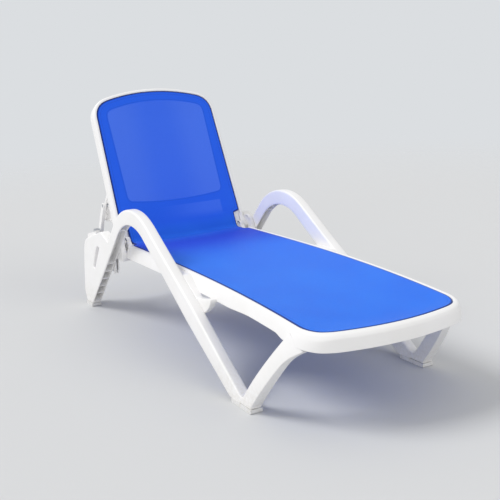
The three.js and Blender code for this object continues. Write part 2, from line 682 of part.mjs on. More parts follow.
// A toothed strip on the rear leg that the prop's toes stand on
function notchRack() {
  const railSlope = (rearLeg.cornerHeight - rearLeg.railHeight) / (cornerStation - rear.legRail);
  const railTop = (s) => rearLeg.railHeight + railSlope * (s - rear.legRail) + gap;
  const angles = linear(rackAngles.standing, rackAngles.lowest, 7);
  const top = angles
    .map((angle) => toeAt(angle))
    .filter((p) => p.x < rear.rackRear)
    .map((p) => [p.x, p.y - prop.rodRadius - running]);
  const stop = [rear.rackFront, top[0][1] + prop.rodRadius];
  const seatEdge = [top[0][0] - prop.rodRadius - running, top[0][1] + prop.rodRadius];
  const seatFoot = [top[0][0] - prop.rodRadius - running, top[0][1]];
  const last = top[top.length - 1];
  const outline = [
    [rear.rackFront, railTop(rear.rackFront)],
    [rear.rackRear, railTop(rear.rackRear)],
    [rear.rackRear, last[1] - rack.notchDrop * 2],
    ...top.reverse(),
    seatFoot,
    seatEdge,
    stop,
  ];
  const notches = rackNotchAngles.map((angle) => {
    const p = toeAt(angle);
    return bar(rack.notchRadius, rackInner - overrun, rackInner + rack.thickness + overrun, p.x, p.y - rack.notchDrop, 12);
  });
  return cut(plate(outline, rackInner, rackInner + rack.thickness), ...notches);
}

// Backrest pieces are drawn flat: w as Y, n as Z, with the hinge axis at the origin
const backHalfWidth = (w) => backHalfFoot - (back.taper * w) / back.length;
const backPlan = { ...back, halfWidthAt: (d) => backHalfWidth(back.length - d) };
const backProfile = [
  [-flange.width, -flange.drop],
  [0, -flange.drop],
  [0, -rim.round],
  [rim.round, 0],
  [rim.face, 0],
  [rim.width, -rim.chamfer],
  [rim.width, -rim.depth],
  [rim.width - rim.wall, -rim.depth],
  [rim.width - rim.wall, -flange.drop - flange.wall],
  [flange.wall - flange.width, -flange.drop - flange.wall],
  [flange.wall - flange.width, -flange.ribDepth],
  [-flange.width, -flange.ribDepth],
].map(([o, n]) => new THREE.Vector2(o, n));
const backSweep = (path) =>
  loft(
    path.map((p) =>
      backProfile.map((v) => new THREE.Vector3(p.x + v.x * p.nx, back.length - p.along - v.x * p.ny, v.y)),
    ),
    backProfile,
  );

function backTopRail() {
  const jointAlong = back.length - stileJoint - gap;
  const path = mirrorPath(bowedEnd(backPlan, [jointAlong, back.cornerRun]));
  return backSweep(withNormals(path));
}

function backStile() {
  const sides = linear(stile.start, stileJoint, 1).map((w) => ({ x: backHalfWidth(w), along: back.length - w }));
  const eye = bar(knuckle.radius, knuckleInner, knuckleOuter, 0, 0);
  const web = block([knuckleInner, 0, -knuckle.radius], [knuckleOuter - rim.wall / 2, stile.webEnd, -rim.chamfer]);
  const bore = bar(hinge.pinRadius + gap, knuckleInner - overrun, knuckleOuter + overrun, 0, 0);
  const cheekRoom = bar(bracket.radius + overrun, bracketInner - overrun, knuckleInner, 0, 0);
  return cut(join(backSweep(withNormals(sides)), eye, web), bore, cheekRoom);
}

function backBar({ start, end, top, depth }) {
  const reach = backHalfWidth(end) - flange.width - gap;
  return hollowBeam(reach, [start, end], [top - depth, top]);
}

function backCloth() {
  const rows = clothRows(backPlan, back.length - cloth.split, (x, d) => {
    const sag = sagAt(x, d, backPlan.halfWidthAt(d), back.bow, flange.width, cloth.backSag);
    return new THREE.Vector3(x, back.length - d - gap, -cloth.recess - sag);
  });
  return sheet(rows, cloth.thickness, new THREE.Vector3(0, 0, -1));
}

function propLug() {
  const wallInner = backHalfWidth(lug.high) + rim.width - rim.wall - gap;
  const outline = [
    [lug.low, lug.top - flange.wall],
    [lug.high, lug.top - flange.wall],
    [lug.high, lug.highDepth, cornerRadius],
    [lug.tipHigh, lug.tip, cornerRadius],
    [lug.tipLow, lug.tip, cornerRadius],
    [lug.low, lug.lowDepth, cornerRadius],
  ];
  const hole = bar(prop.rodRadius + running, 0, legInner, prop.w, prop.n);
  return cut(plate(outline, wallInner - lug.thickness, wallInner), hole);
}

// Prop pieces are drawn along Y from the rod's axis
function propArm() {
  const half = prop.width / 2;
  const outline = [
    [-half, -half, half], [prop.length + half, -half, half], [prop.length + half, half, half], [-half, half, half],
  ];
  const [low, high] = [propInner - overrun, propOuter + overrun];
  const holes = [0, prop.length].map((y) => bar(prop.rodRadius + gap, low, high, y, 0));
  return cut(plate(outline, propInner, propOuter), ...holes);
}

function mirrored(geometry) {
  return geometryOf(solidOf(geometry.clone().scale(-1, 1, 1)));
}

function add(group, name, geometry, look) {
  const mesh = new THREE.Mesh(geometry, new THREE.MeshStandardMaterial(look));
  mesh.name = name;
  group.add(mesh);
}

// The sitter's left is +X
function addPair(group, name, geometry, look) {
  add(group, "left_" + name, geometry, look);
  add(group, "right_" + name, mirrored(geometry), look);
}

const lounger = new THREE.Group();
const frame = new THREE.Group();
lounger.add(frame);

addPair(frame, "side_rail", sideRail(), whiteResin);
add(frame, "foot_apron", footApron(), whiteResin);
addPair(frame, "front_leg", frontLeg(), whiteResin);
addPair(frame, "armrest", armrest(), whiteResin);
addPair(frame, "rear_leg", rearLegFrame(), whiteResin);
addPair(frame, "front_foot_pad", footPad(foot.frontFront, foot.frontRear), greyResin);
addPair(frame, "rear_foot_pad", footPad(rear.footFront, rear.footRear), greyResin);
add(frame, "foot_crossbar", seatCrossbar(crossbar.footStation), whiteResin);
add(frame, "middle_crossbar", seatCrossbar(crossbar.middleStation), whiteResin);
add(frame, "hinge_crossbar", hingeCrossbar(), whiteResin);
add(frame, "head_crossbar", headCrossbar(), whiteResin);
addPair(frame, "hinge_bracket", hingeBracket(), whiteResin);
addPair(frame, "stacking_guide", stackingGuide(), whiteResin);
addPair(frame, "notch_rack", notchRack(), whiteResin);
add(frame, "seat_cloth", seatCloth(), blueMesh);
addPair(frame, "cloth_strip", clothStrip(seatSide), greyResin);
add(frame, "foot_cloth_strip", clothStrip(seatEnd), greyResin);

const backrest = new THREE.Group();
backrest.position.set(0, hinge.station, hinge.height);
backrest.rotation.x = radians(recline);
frame.add(backrest);

addPair(backrest, "back_stile", backStile(), whiteResin);
add(backrest, "back_top_rail", backTopRail(), whiteResin);
add(backrest, "back_bottom_bar", backBar(bottomBar), whiteResin);
add(backrest, "back_lower_crossbar", backBar(lowerCrossbar), whiteResin);
add(backrest, "back_cloth", backCloth(), blueMesh);
addPair(backrest, "hinge_pin", bar(hinge.pinRadius, bracketInner + hinge.pinInset, legInner - gap - gap, 0, 0), steel);
addPair(backrest, "prop_lug", propLug(), whiteResin);

const propFrame = new THREE.Group();
propFrame.position.set(0, prop.w, prop.n);
propFrame.rotation.x = radians(propStanding);
backrest.add(propFrame);

addPair(propFrame, "prop_arm", propArm(), whiteResin);
add(propFrame, "prop_rod", bar(prop.rodRadius, -propOuter, propOuter, 0, 0), steel);
addPair(propFrame, "prop_toe_pin", bar(prop.rodRadius, propInner, legInner + prop.toeReach, prop.length, 0), steel);

// The origin goes to the middle of the whole length.
const bounds = new THREE.Box3().setFromObject(lounger, true);
frame.position.y = -(bounds.min.y + bounds.max.y) / 2;

export default lounger;
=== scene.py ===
from math import cos, pi, radians, sin, tan

import bmesh
import bpy
import numpy as np
from mathutils import Matrix, Vector


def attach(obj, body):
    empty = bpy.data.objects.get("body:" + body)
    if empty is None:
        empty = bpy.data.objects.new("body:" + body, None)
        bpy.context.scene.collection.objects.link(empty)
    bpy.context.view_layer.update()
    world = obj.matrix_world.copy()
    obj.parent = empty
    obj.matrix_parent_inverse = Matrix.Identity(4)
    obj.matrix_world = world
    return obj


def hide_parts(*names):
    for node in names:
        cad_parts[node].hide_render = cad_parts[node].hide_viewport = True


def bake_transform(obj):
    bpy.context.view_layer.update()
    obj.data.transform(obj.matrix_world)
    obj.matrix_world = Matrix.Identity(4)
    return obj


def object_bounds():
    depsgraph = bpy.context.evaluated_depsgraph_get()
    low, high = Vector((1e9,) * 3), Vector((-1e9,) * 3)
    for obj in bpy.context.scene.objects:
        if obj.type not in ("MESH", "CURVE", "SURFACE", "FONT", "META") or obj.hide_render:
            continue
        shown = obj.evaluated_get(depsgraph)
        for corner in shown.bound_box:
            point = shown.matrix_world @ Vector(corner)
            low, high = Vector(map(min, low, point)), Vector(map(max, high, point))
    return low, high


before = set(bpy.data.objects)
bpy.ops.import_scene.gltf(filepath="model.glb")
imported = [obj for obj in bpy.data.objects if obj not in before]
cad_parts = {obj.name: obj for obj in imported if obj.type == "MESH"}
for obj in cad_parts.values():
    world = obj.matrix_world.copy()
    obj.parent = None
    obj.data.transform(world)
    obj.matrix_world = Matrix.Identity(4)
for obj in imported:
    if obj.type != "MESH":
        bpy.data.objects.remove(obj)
cad_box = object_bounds()

MM = 0.001
SIDES = ((1, "left"), (-1, "right"))  # the lounger's own left is +X


# ---- Camera

# The photograph's viewpoint: beyond the foot end, on the right-hand side, a little above the backrest's top.
EYE = Vector((-1.52846, -2.770687, 1.07564))
YAW, PITCH, ROLL = radians(28.9329), radians(-12.8442), radians(-2.5275)
LENS_MM, SENSOR_MM, FARTHEST = 61.673, 36.0, 200.0


def place_camera():
    """The camera at the eye point, turned by the yaw, tipped by the pitch, and rolled."""
    ahead = Vector((sin(YAW) * cos(PITCH), cos(YAW) * cos(PITCH), sin(PITCH)))
    across = Vector((cos(YAW), -sin(YAW), 0))
    above = across.cross(ahead)
    right = across * cos(ROLL) + above * sin(ROLL)
    up = above * cos(ROLL) - across * sin(ROLL)
    data = bpy.data.cameras.new("camera")
    data.lens, data.sensor_width, data.clip_end = LENS_MM, SENSOR_MM, FARTHEST
    camera = bpy.data.objects.new("camera", data)
    turn = Matrix((right, up, -ahead)).transposed().to_4x4()
    turn.translation = EYE
    camera.matrix_world = turn
    bpy.context.scene.collection.objects.link(camera)
    bpy.context.scene.camera = camera


place_camera()
bpy.context.scene.view_settings.view_transform = "Standard"


# ---- Shader maths


class Value:
    """A number that changes over a surface. An expression on it adds Math nodes to its look."""

    def __init__(self, look, socket):
        self.look, self.socket = look, socket

    def __add__(self, other):
        return self.look.maths("ADD", self, other)

    def __sub__(self, other):
        return self.look.maths("SUBTRACT", self, other)

    def __rsub__(self, other):
        return self.look.maths("SUBTRACT", other, self)

    def __mul__(self, other):
        return self.look.maths("MULTIPLY", self, other)

    def __truediv__(self, other):
        return self.look.maths("DIVIDE", self, other)

    def __lt__(self, other):
        return self.look.maths("LESS_THAN", self, other)

    def __gt__(self, other):
        return self.look.maths("GREATER_THAN", self, other)

    def __abs__(self):
        return self.look.maths("ABSOLUTE", self)

    __radd__, __rmul__ = __add__, __mul__


class Look:
    """One finish: a Principled shader whose fixed numbers are set on its sockets, and the nodes that vary it."""

    def __init__(self, name, **fixed):
        self.material = bpy.data.materials.new(name)
        self.material.use_nodes = True
        self.tree = self.material.node_tree
        self.shader = self.tree.nodes["Principled BSDF"]
        for socket, value in fixed.items():
            self.shader.inputs[socket.replace("_", " ")].default_value = value
        self.place = self.node("ShaderNodeTexCoord").outputs["Object"]

    def node(self, kind, settings=None, inputs=None):
        """Adds a node: its settings first, then the value or link of each socket."""
        made = self.tree.nodes.new(kind)
        for setting, value in (settings or {}).items():
            setattr(made, setting, value)
        for key, value in (inputs or {}).items():
            self.feed(made.inputs[key], value)
        return made

    def feed(self, socket, value):
        """Links a value to a socket, or sets a plain number or colour on it."""
        if isinstance(value, Value):
            value = value.socket
        if isinstance(value, bpy.types.NodeSocket):
            self.tree.links.new(value, socket)
        else:
            socket.default_value = value

    def maths(self, operation, *values):
        """One Math node's result."""
        made = self.node("ShaderNodeMath", {"operation": operation}, dict(enumerate(values)))
        return Value(self, made.outputs[0])

    def smooth(self, value, low, high):
        """0 below low, 1 above high, and an S-curve between."""
        made = self.node(
            "ShaderNodeMapRange",
            {"interpolation_type": "SMOOTHSTEP"},
            {"Value": value, "From Min": low, "From Max": high},
        )
        return Value(self, made.outputs["Result"])

    def stretched(self, scale):
        """Object coordinates, scaled along each axis."""
        made = self.node("ShaderNodeMapping", None, {"Vector": self.place, "Scale": scale})
        return made.outputs["Vector"]

    def noise(self, scale, detail=2, vector=None, roughness=0.5):
        """Cloudy noise from 0 to 1, with about this many clouds to a metre."""
        made = self.node(
            "ShaderNodeTexNoise",
            None,
            {"Vector": vector or self.place, "Scale": scale, "Detail": detail, "Roughness": roughness},
        )
        return Value(self, made.outputs[0])

    def attribute(self, name):
        """A number stored on the mesh's points."""
        return Value(self, self.node("ShaderNodeAttribute", {"attribute_name": name}).outputs["Fac"])

    def parts(self, vector):
        """The three numbers of a vector."""
        made = self.node("ShaderNodeSeparateXYZ", None, {"Vector": vector})
        return [Value(self, out) for out in made.outputs]

    def mix(self, share, a, b):
        """Colour a where share is 0 and b where it is 1."""
        made = self.node("ShaderNodeMix", {"data_type": "RGBA"}, {0: share, 6: a, 7: b})
        return made.outputs[2]

    def bump(self, height, depth, strength, under=None):
        """A bump whose height runs from 0 to 1 over the depth in metres."""
        inputs = {"Height": height, "Distance": depth, "Strength": strength}
        if under is not None:
            inputs["Normal"] = under
        return self.node("ShaderNodeBump", None, inputs).outputs["Normal"]

    def varies(self, **links):
        """Feeds the shader's sockets, named with _ for a space, and hands over the material."""
        for socket, value in links.items():
            self.feed(self.shader.inputs[socket.replace("_", " ")], value)
        return self.material


def srgb(r, g, b):
    """A colour written in 0 to 255 as the linear numbers that a socket takes."""
    c = np.array([r, g, b]) / 255
    linear = np.where(c <= 0.04045, c / 12.92, ((c + 0.055) / 1.055) ** 2.4)
    return (*linear.tolist(), 1.0)


# ---- Finishes

DUST_RISE = 0.16  # how far above the ground dust settles
SCUFF_TINT, DUST_TINT = srgb(214, 211, 206), srgb(196, 188, 174)
STEEL_DARK, STEEL_BRIGHT, STEEL_SPOT = srgb(172, 176, 181), srgb(205, 208, 212), srgb(128, 124, 118)


def resin_look(name, colour, shade, grain_depth, rough):
    """Moulded resin: a fine spark-eroded grain, a slow waviness, faint scuffs and a little dust near the ground."""
    look = Look(name, Specular_IOR_Level=0.5)
    broad = look.noise(7, 3)
    grain = look.noise(1500, 2)
    cloudy = look.noise(90, 4, roughness=0.65)
    scuffs = look.smooth(look.noise(140, 5, look.stretched((1, 0.16, 1)), 0.7), 0.62, 0.74)
    height = look.parts(look.place)[2]
    dust = (1 - look.smooth(height, 0.0, DUST_RISE)) * look.smooth(cloudy, 0.35, 0.7)
    tint = look.mix(look.smooth(broad, 0.3, 0.75) * 0.7, colour, shade)
    tint = look.mix(scuffs * 0.22, tint, SCUFF_TINT)
    tint = look.mix(dust * 0.3, tint, DUST_TINT)
    waves = look.bump(look.noise(26, 2), 0.0009, 0.35)
    return look.varies(
        Base_Color=tint,
        Roughness=rough + grain * 0.08 + scuffs * 0.12 + dust * 0.1 + broad * 0.08,
        Normal=look.bump(grain * 0.7 + cloudy * 0.3, grain_depth, 0.8, waves),
    )


def steel_look():
    """A bright steel pin with turning marks round it and a few darker spots."""
    look = Look("steel", Metallic=1.0)
    rings = look.noise(900, 3, look.stretched((1, 0.04, 0.04)))
    spots = look.smooth(look.noise(160, 4), 0.6, 0.8)
    tint = look.mix(rings, STEEL_DARK, STEEL_BRIGHT)
    tint = look.mix(spots * 0.5, tint, STEEL_SPOT)
    return look.varies(
        Base_Color=tint,
        Roughness=0.22 + rings * 0.16 + spots * 0.25,
        Normal=look.bump(rings, 0.00006, 0.6),
    )


# The weave, in metres across the sling and along it from its foot end.
YARN_PITCH = 0.0021  # from one yarn to the next
YARN_SHARE = 0.72  # of the pitch that a yarn covers
UNDER = 0.55  # a yarn's height where it passes under, as a share of its height on top
HINGE_RUN, HINGE_FADE = 1.415, 0.06  # where the backrest begins, and how fast its painted-shade colour sets in
PAINTED_EDGE_SHADE = (0.002, 0.009)  # the painted shade line in the gap along the sling's edge fades over this
SEAT_BORDER_EDGE = (0.024, 0.028)  # the seat's closed border ends over this
SEAM_INSET, WINDOW_SEAM_INSET = 0.016, -0.004  # the stitching, from the sling's edge and from the window's
SEAT_SHADE = (0.9, 1.3)  # painted shade: the seat is painted darker over this run, for the shadow of the backrest
PATCH_ACROSS, PATCH_ALONG = (-0.12, 0.16, 0.2, 0.208), (1.46, 1.5, 1.533, 1.538)  # the painted light of the lit bar behind the cloth, a paler patch; it rises, then falls


def sling_look():
    """Coated yarns woven over and under each other, with a small square opening between them. The border is two
    layers thick, so it is closed; the middle of the backrest is open; the seat is closer. The backrest is painted
    darker as painted shade, and its window is painted paler, for the light that comes through one layer."""
    look = Look("woven_sling", Specular_IOR_Level=0.2, Sheen_Weight=0.06, Sheen_Roughness=0.5)
    across, along, _ = look.parts(look.node("ShaderNodeUVMap", {"uv_map": "weave"}).outputs["UV"])
    rim, inside_window = look.attribute("rim"), look.attribute("window")

    def yarns(run):
        cell = run / YARN_PITCH
        from_middle = abs(look.maths("FRACT", cell) - 0.5) * 2
        return from_middle, look.maths("FLOORED_MODULO", look.maths("FLOOR", cell), 2.0)

    def rounded(from_middle, share):
        return look.maths("SQRT", look.maths("MAXIMUM", 1 - from_middle * from_middle, 0.0)) * share

    def band(value, rise, full, ease, end):
        return look.smooth(value, rise, full) * (1 - look.smooth(value, ease, end))

    def stitches(value, inset, fine, wide):
        return 1 - look.smooth(abs(value - inset), fine, wide)

    warp, warp_turn = yarns(across)
    weft, weft_turn = yarns(along)
    over = abs(warp_turn - weft_turn)  # 1 where the warp lies on top
    warp_height = rounded(warp, UNDER + over * (1 - UNDER))
    weft_height = rounded(weft, 1.0 - over * (1 - UNDER))
    height = look.maths("MAXIMUM", warp_height, weft_height)
    opening = (warp > YARN_SHARE) * (weft > YARN_SHARE)
    backrest = look.smooth(along, HINGE_RUN, HINGE_RUN + HINGE_FADE)
    window = look.smooth(inside_window, -0.002, 0.003)
    open_seat = (1 - backrest) * look.smooth(rim, *SEAT_BORDER_EDGE)
    past_shade = look.smooth(along, SEAT_SHADE[1], HINGE_RUN + 0.01)
    painted_hinge_shade = look.smooth(along, *SEAT_SHADE) * (1 - past_shade * 0.7) * (1 - backrest)
    painted_bar_light = band(across, *PATCH_ACROSS) * band(along, *PATCH_ALONG)
    sides = look.smooth(abs(across), 0.03, 0.17)
    patch = look.noise(5, 3)
    streaks = look.noise(220, 2, look.stretched((1, 0.03, 0.03)))
    seam = stitches(rim, SEAM_INSET, 0.0006, 0.0016)
    window_seam = stitches(inside_window, WINDOW_SEAM_INSET, 0.0006, 0.0018)
    blue = look.mix(look.smooth(patch, 0.3, 0.7), srgb(30, 118, 244), srgb(38, 128, 250))
    for share, tint in (
        (streaks * 0.35, (24, 100, 234)),
        # painted shade: the backrest's and armrests' shadow on the seat near the hinge
        (painted_hinge_shade, (4, 66, 214)),
        # painted shade: the whole backrest painted darker, as if turned away from the key lamp
        (backrest * 0.75, (26, 92, 240)),
        (window * 0.75, (68, 120, 252)),  # painted light: the single-layer window painted paler, for the light that comes through it
        # painted light: the window painted paler again away from its middle
        (window * sides * 0.3, (96, 140, 252)),
        # painted light: a paler patch where the lit bar behind the backrest shows through
        (painted_bar_light * 0.5, (78, 128, 250)),
        ((1 - height) * 0.5, (14, 50, 166)),  # painted shade between the yarns and where they pass under
        # painted shade: a dark line along the sling's edge, for the shadow in the gap at the frame
        ((1 - look.smooth(rim, *PAINTED_EDGE_SHADE)) * 0.9, (12, 30, 104)),
        (seam * 0.35, (22, 60, 170)),
        (window_seam * 0.3, (22, 60, 170)),
    ):
        blue = look.mix(share, blue, srgb(*tint))
    return look.varies(
        Base_Color=blue,
        Alpha=1 - opening * (window * 0.9 + open_seat * 0.35),
        Roughness=0.5 + (1 - height) * 0.25 + patch * 0.1,
        Normal=look.bump(height * 0.9 + (1 - seam) * 0.1, 0.0006, 0.6),
    )


WHITE = resin_look("white_resin", srgb(239, 238, 238), srgb(233, 232, 230), 0.00016, 0.3)
GREY = resin_look("grey_resin", srgb(226, 226, 226), srgb(216, 216, 215), 0.0003, 0.5)
STEEL = steel_look()
SLING = sling_look()


# ---- Light and floor

ROOM_STRENGTH, ROOM_COLOUR = 0.66, srgb(219, 222, 225)
LAMPS = (  # where each shines from, its strength and its softness in degrees
    ("key_lamp", (-0.8, 0.5, 1.0), 1.66, 26),
    ("fill_lamp", (0.5, -0.9, 0.6), 0.35, 40),
    ("side_lamp", (-0.8, -0.75, 0.15), 0.55, 40),
)
FLOOR_RADII, FLOOR_STEPS = np.array([0.0, 1.0, 2.0, 3.0, 5.0, 8.0, 12.0, 30.0]), 48
FLOOR_DROP = 0.0004  # under the feet
FLOOR_FADE = (3.2, 8.0)  # radii between which the floor turns into the room


def light_the_studio():
    """A soft pale room with one broad lamp from above on the camera's left, and two weak ones from the right and
    from low down. The camera, glass and glossy surfaces see the room's own colour, whatever light it gives."""
    world = bpy.data.worlds.new("room")
    bpy.context.scene.world = world
    world.use_nodes = True
    tree = world.node_tree
    background = tree.nodes["Background"]
    background.inputs["Color"].default_value = (1, 1, 1, 1)
    background.inputs["Strength"].default_value = ROOM_STRENGTH
    seen = tree.nodes.new("ShaderNodeBackground")
    seen.inputs["Color"].default_value = ROOM_COLOUR
    path = tree.nodes.new("ShaderNodeLightPath")
    shown = path.outputs["Is Camera Ray"]
    for ray in ("Is Transmission Ray", "Is Glossy Ray"):
        either = tree.nodes.new("ShaderNodeMath")
        either.operation = "MAXIMUM"
        tree.links.new(shown, either.inputs[0])
        tree.links.new(path.outputs[ray], either.inputs[1])
        shown = either.outputs[0]
    mixed = tree.nodes.new("ShaderNodeMixShader")
    for number, output in enumerate((shown, background.outputs[0], seen.outputs[0])):
        tree.links.new(output, mixed.inputs[number])
    tree.links.new(mixed.outputs[0], tree.nodes["World Output"].inputs["Surface"])
    for name, direction, strength, softness in LAMPS:
        data = bpy.data.lights.new(name, "SUN")
        data.energy, data.angle = strength, radians(softness)
        lamp = bpy.data.objects.new(name, data)
        lamp.rotation_euler = Vector(direction).to_track_quat("Z", "Y").to_euler()
        bpy.context.scene.collection.objects.link(lamp)


def lay_the_floor():
    """A wide pale disc under the feet that fades into the room with distance."""
    angle = np.linspace(0, 2 * pi, FLOOR_STEPS, endpoint=False)
    x, y = FLOOR_RADII[:, None] * np.cos(angle), FLOOR_RADII[:, None] * np.sin(angle)
    points = np.stack([x, y, np.full_like(x, -FLOOR_DROP)], -1)
    look = Look("floor", Roughness=0.9, Specular_IOR_Level=0.1)
    x, y, _ = look.parts(look.place)
    far = look.smooth(look.maths("SQRT", x * x + y * y), *FLOOR_FADE)
    look.varies(Base_Color=look.mix(look.noise(300, 2) * 0.3, srgb(208, 209, 210), srgb(202, 203, 205)))
    clear = look.node("ShaderNodeBsdfTransparent")
    mixed = look.node("ShaderNodeMixShader", None, {0: far, 1: look.shader.outputs[0], 2: clear.outputs[0]})
    look.tree.links.new(mixed.outputs[0], look.tree.nodes["Material Output"].inputs["Surface"])
    floor = surface("floor", points, look.material, closed_round=True, scale=1.0)


# ---- Surfaces


def surface(name, points, material, closed_round=False, ends=False, scale=MM):
    """A mesh from a grid of points, rows by columns. closed_round joins the last column to the first, and ends
    closes the first and the last row with one face each. Seen from the side that the faces point to, a row runs
    to the right and the next row lies above it."""
    rows, columns = points.shape[:2]
    number = np.arange(rows * columns).reshape(rows, columns)
    following = np.roll(number, -1, axis=1) if closed_round else number[:, 1:]
    first = number if closed_round else number[:, :-1]
    quads = np.stack([first[:-1], following[:-1], following[1:], first[1:]], -1).reshape(-1, 4)
    faces = quads.tolist()
    if ends:
        faces += [number[0, ::-1].tolist(), number[-1].tolist()]
    return mesh_piece(name, points.reshape(-1, 3) * scale, faces, material, solid=ends)


def mesh_piece(name, vertices, faces, material, sharp=34, solid=False):
    """A smooth mesh from whole arrays, creased where faces meet at more than the sharp angle in degrees. A solid
    whose faces point inwards has them turned round."""
    mesh = bpy.data.meshes.new(name)
    mesh.from_pydata(vertices.tolist(), [], faces)
    mesh.validate()
    if solid:
        body = bmesh.new()
        body.from_mesh(mesh)
        if body.calc_volume(signed=True) < 0:
            mesh.flip_normals()
        body.free()
    mesh.shade_smooth()
    mesh.set_sharp_from_angle(angle=radians(sharp))
    mesh.materials.append(material)
    made = bpy.data.objects.new(name, mesh)
    bpy.context.scene.collection.objects.link(made)
    return made


def to_row(across, station, height):
    """Points in millimetres by station as points of the row frame in millimetres."""
    return np.stack(np.broadcast_arrays(across, station - ORIGIN_STATION, height), -1)


def smoothstep(value, low, high):
    """0 below low, 1 above high, and an S-curve between."""
    t = np.clip((value - low) / (high - low), 0, 1)
    return t * t * (3 - 2 * t)


def curve(t, start, bend, end):
    """The quadratic curve from start to end that leaves towards the bend, at the share t of its way."""
    return (1 - t) ** 2 * start + 2 * t * (1 - t) * bend + t**2 * end


def eased(inner, outer, edge, steps):
    """A plate's edge from its inner face to its outer one, rounded over quarter circles: the distance across, and
    how far the outline is drawn in there."""
    a = np.linspace(0, pi / 2, steps)
    across = np.concatenate([inner + edge * (1 - np.cos(a)), outer - edge * (1 - np.cos(a[::-1]))])
    return across, np.concatenate([edge * (1 - np.sin(a)), edge * (1 - np.sin(a[::-1]))])


MOST_ROUNDED = 0.46  # of an edge's length that the curve at one corner may take


def softened(outline, reach, steps=4):
    """Each corner of a closed outline, given as (..., corners, 2), becomes a curve that leaves the edges at the
    reach before and after the corner."""
    before, after = np.roll(outline, 1, axis=-2) - outline, np.roll(outline, -1, axis=-2) - outline
    lengths = [np.linalg.norm(edge, axis=-1, keepdims=True) for edge in (before, after)]
    reach = np.asarray(reach, float)[..., None]
    entry, leave = (
        outline + edge * np.minimum(reach / length, MOST_ROUNDED) for edge, length in zip((before, after), lengths)
    )
    t = np.linspace(0, 1, steps + 1)[:, None]
    corners = curve(t, entry[..., None, :], outline[..., None, :], leave[..., None, :])
    return corners.reshape(*outline.shape[:-2], -1, 2)


# ---- The seat's plan and its lip

SEAT_HALF, SEAT_BOW, SEAT_CORNER_RUN, SEAT_CORNER_SPAN = 277.0, 51.0, 70.0, 78.0
APRON_DEPTH = 27.5
ORIGIN_STATION = -cad_box[0][1] / MM - SEAT_BOW - APRON_DEPTH  # the solids begin at the apron's front
LIP_STATIONS, LIP_HEIGHTS = (0.0, 350.0, 700.0, 1405.0), (302.5, 326.0, 334.5, 328.0)
RAIL_END = 1345.0
HINGE_STATION, HINGE_HEIGHT, RECLINE = 1405.0, 330.0, radians(65)
BACK_FOOT_HALF, BACK_TAPER, BACK_LENGTH, BACK_BOW = 287.0, 11.0, 619.0, 49.0
BACK_CORNER_RUN, BACK_CORNER_SPAN = 62.0, 66.0
TOP_HALF = BACK_FOOT_HALF - BACK_TAPER
LIP_AT_WEB, LIP_AT_HINGE = LIP_HEIGHTS[2:]
LIP_FIT = np.polyfit(LIP_STATIONS, LIP_HEIGHTS, 3)
FROM_CORNER = 4.0  # where the rows of a straight side begin, past the corner


def lip_height(station):
    """The cubic through the four heights of the lip, held level in front of the corners."""
    return np.polyval(LIP_FIT, np.maximum(station, 0))


def back_half_width(w):
    """Half the backrest's inner width at the height w up it."""
    return BACK_FOOT_HALF - BACK_TAPER * w / BACK_LENGTH


def bowed_end(half, bow, run, span, taper=0.0, corner_steps=20, middle_steps=24):
    """The +X half of a bowed end in plan, as across and along: from the side, round the corner on a quadratic
    curve, and on the parabola along = -bow (1 - (x / half)^2) to the middle. Turn is 0 on the side, 1 on the bow."""
    turn_x = half - span
    slope = 2 * bow * turn_x / half**2
    turn_along = -bow * (1 - (turn_x / half) ** 2)
    side_x = half + taper * run
    knee_x = (half + taper * (turn_along - slope * turn_x)) / (1 - taper * slope)
    knee_along = turn_along + slope * (knee_x - turn_x)
    t = np.linspace(0, 1, corner_steps + 1)
    x = np.linspace(turn_x, 0, middle_steps + 1)[1:]
    across = np.concatenate([curve(t, side_x, knee_x, turn_x), x])
    along = np.concatenate([curve(t, run, knee_along, turn_along), -bow * (1 - (x / half) ** 2)])
    return across, along, np.concatenate([t, np.ones_like(x)])


def both_halves(across, along, turn):
    """The +X half of a path followed by its mirror image, with the middle point once, and its outward normals."""
    x = np.concatenate([across, -across[-2::-1]])
    y = np.concatenate([along, along[-2::-1]])
    turns = np.concatenate([turn, turn[-2::-1]])
    run = np.stack([np.gradient(x), np.gradient(y)], -1)
    run /= np.linalg.norm(run, axis=-1, keepdims=True)
    return x, y, turns, -run[:, 1], run[:, 0]


# Sections of the seat's frame, outwards from the sling's edge and up from the lip, with each corner's rounding.
RAIL_PROFILE = np.array([
    (0, -38), (0, -3), (3, 0), (9, 0), (13.5, -3), (21, -27), (25.5, -54), (20.5, -54), (12, -8), (5, -8), (5, -38),
], float)
APRON_PROFILE = np.array([
    (0, -38), (0, -3), (3, 0), (12, -1.5), (21, -5.5), (APRON_DEPTH, -15), (APRON_DEPTH, -55), (22.5, -55),
    (22.5, -15), (5, -8), (5, -38),
], float)
RAIL_REACH = np.array([1.2, 2.0, 2.0, 3.0, 3.5, 10.0, 1.6, 1.6, 4.0, 3.0, 1.2])
APRON_REACH = np.array([1.2, 2.0, 2.0, 3.0, 4.0, 2.6, 1.6, 1.6, 4.0, 3.0, 1.2])
LOWER_EDGE = slice(6, 8)  # the section's two points that rise at the waist
WAIST = {"rise": 9.5, "start": 118.0, "full": 158.0, "ease": 300.0, "end": 470.0}
BEHIND_WAIST, REAR_ROWS, SIDE_ROWS = 10.0, 30, 50  # the rail's rows are sparser from this far behind the waist


